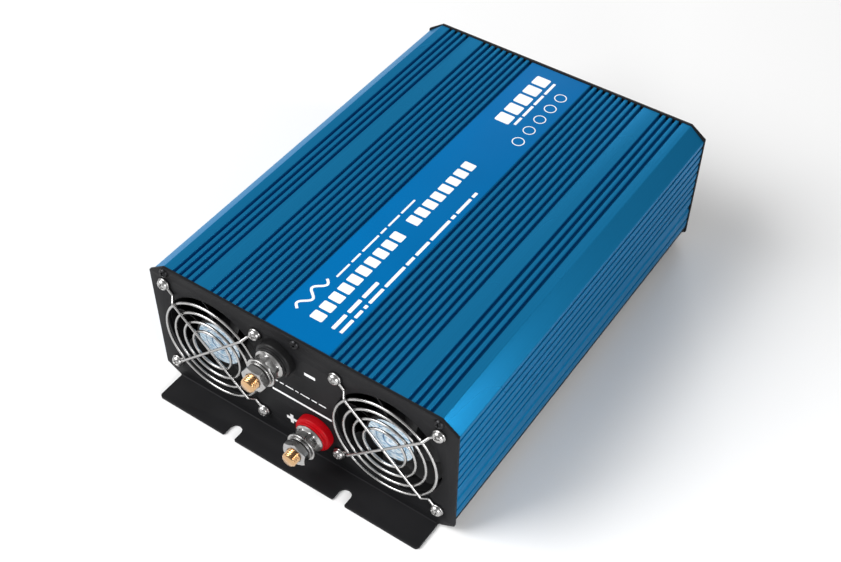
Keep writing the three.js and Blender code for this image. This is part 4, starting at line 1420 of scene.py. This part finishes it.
class INVERTER_OT_stage(bpy.types.Operator):
    """Camera, pale floor and soft studio light"""

    bl_idname = "inverter.stage"
    bl_label = "Stage"

    def execute(self, context):
        scene = context.scene
        camera = bpy.data.objects.new("camera", bpy.data.cameras.new("camera"))
        scene.collection.objects.link(camera)
        right, up = Vector(CAMERA_RIGHT).normalized(), Vector(CAMERA_UP).normalized()
        turn = Matrix((right, up, right.cross(up))).transposed().to_4x4()
        camera.matrix_world = Matrix.Translation(CAMERA_PLACE) @ turn
        camera.data.lens = CAMERA_LENS
        camera.data.clip_start = 0.01
        scene.camera = camera
        floor = bpy.data.objects.new("floor", bpy.data.meshes.new("floor"))
        corners = [(-FLOOR, -FLOOR, 0), (FLOOR, -FLOOR, 0), (FLOOR, FLOOR, 0), (-FLOOR, FLOOR, 0)]
        floor.data.from_pydata(corners, [], [(0, 1, 2, 3)])
        floor.data.materials.append(new_finish("pale_floor", (0.86, 0.86, 0.86), 0.9)[0])
        scene.collection.objects.link(floor)
        for name, (place, aim, side, power) in LIGHTS.items():
            data = bpy.data.lights.new(name, "AREA")
            data.size = side
            data.energy = power
            lamp = bpy.data.objects.new(name, data)
            lamp.location = place
            lamp.rotation_euler = (Vector(aim) - Vector(place)).to_track_quat("-Z", "Y").to_euler()
            scene.collection.objects.link(lamp)
        world = bpy.data.worlds.new("studio")
        world.use_nodes = True
        background = world.node_tree.nodes["Background"]
        background.inputs["Color"].default_value = (1, 1, 1, 1)
        background.inputs["Strength"].default_value = SKY
        scene.world = world
        scene.view_settings.view_transform = "Standard"
        return {"FINISHED"}


# Panel and registration


STEPS = (
    INVERTER_OT_stage,
    INVERTER_OT_casing,
    INVERTER_OT_tray,
    INVERTER_OT_label,
    INVERTER_OT_front_plate,
    INVERTER_OT_rear_plate,
    INVERTER_OT_plate_screws,
    INVERTER_OT_fan_frames,
    INVERTER_OT_fan_rotors,
    INVERTER_OT_fan_guards,
    INVERTER_OT_guard_screws,
    INVERTER_OT_insulators,
    INVERTER_OT_studs,
    INVERTER_OT_nuts,
    INVERTER_OT_inside,
    INVERTER_OT_outlets,
    INVERTER_OT_power_switch,
    INVERTER_OT_lamps,
    INVERTER_OT_usb,
    INVERTER_OT_earth,
)


class INVERTER_PT_panel(bpy.types.Panel):
    """Lists the sizes, the colours and every step"""

    bl_label = "Power inverter"
    bl_idname = "INVERTER_PT_panel"
    bl_space_type = "VIEW_3D"
    bl_region_type = "UI"
    bl_category = "Inverter"

    def draw(self, context):
        for group in (context.scene.inverter_sizes, context.scene.inverter_colours):
            for name in group.__annotations__:
                self.layout.prop(group, name)
        for step in STEPS:
            self.layout.operator(step.bl_idname)


CLASSES = (InverterSizes, InverterColours, *STEPS, INVERTER_PT_panel)


def register():
    for cls in CLASSES:
        bpy.utils.register_class(cls)
    bpy.types.Scene.inverter_sizes = PointerProperty(type=InverterSizes)
    bpy.types.Scene.inverter_colours = PointerProperty(type=InverterColours)


def unregister():
    del bpy.types.Scene.inverter_colours
    del bpy.types.Scene.inverter_sizes
    for cls in reversed(CLASSES):
        bpy.utils.unregister_class(cls)


def main():
    """Runs every step in order."""
    register()
    for step in STEPS:
        group, name = step.bl_idname.split(".")
        getattr(getattr(bpy.ops, group), name)()


if __name__ == "__main__":
    main()
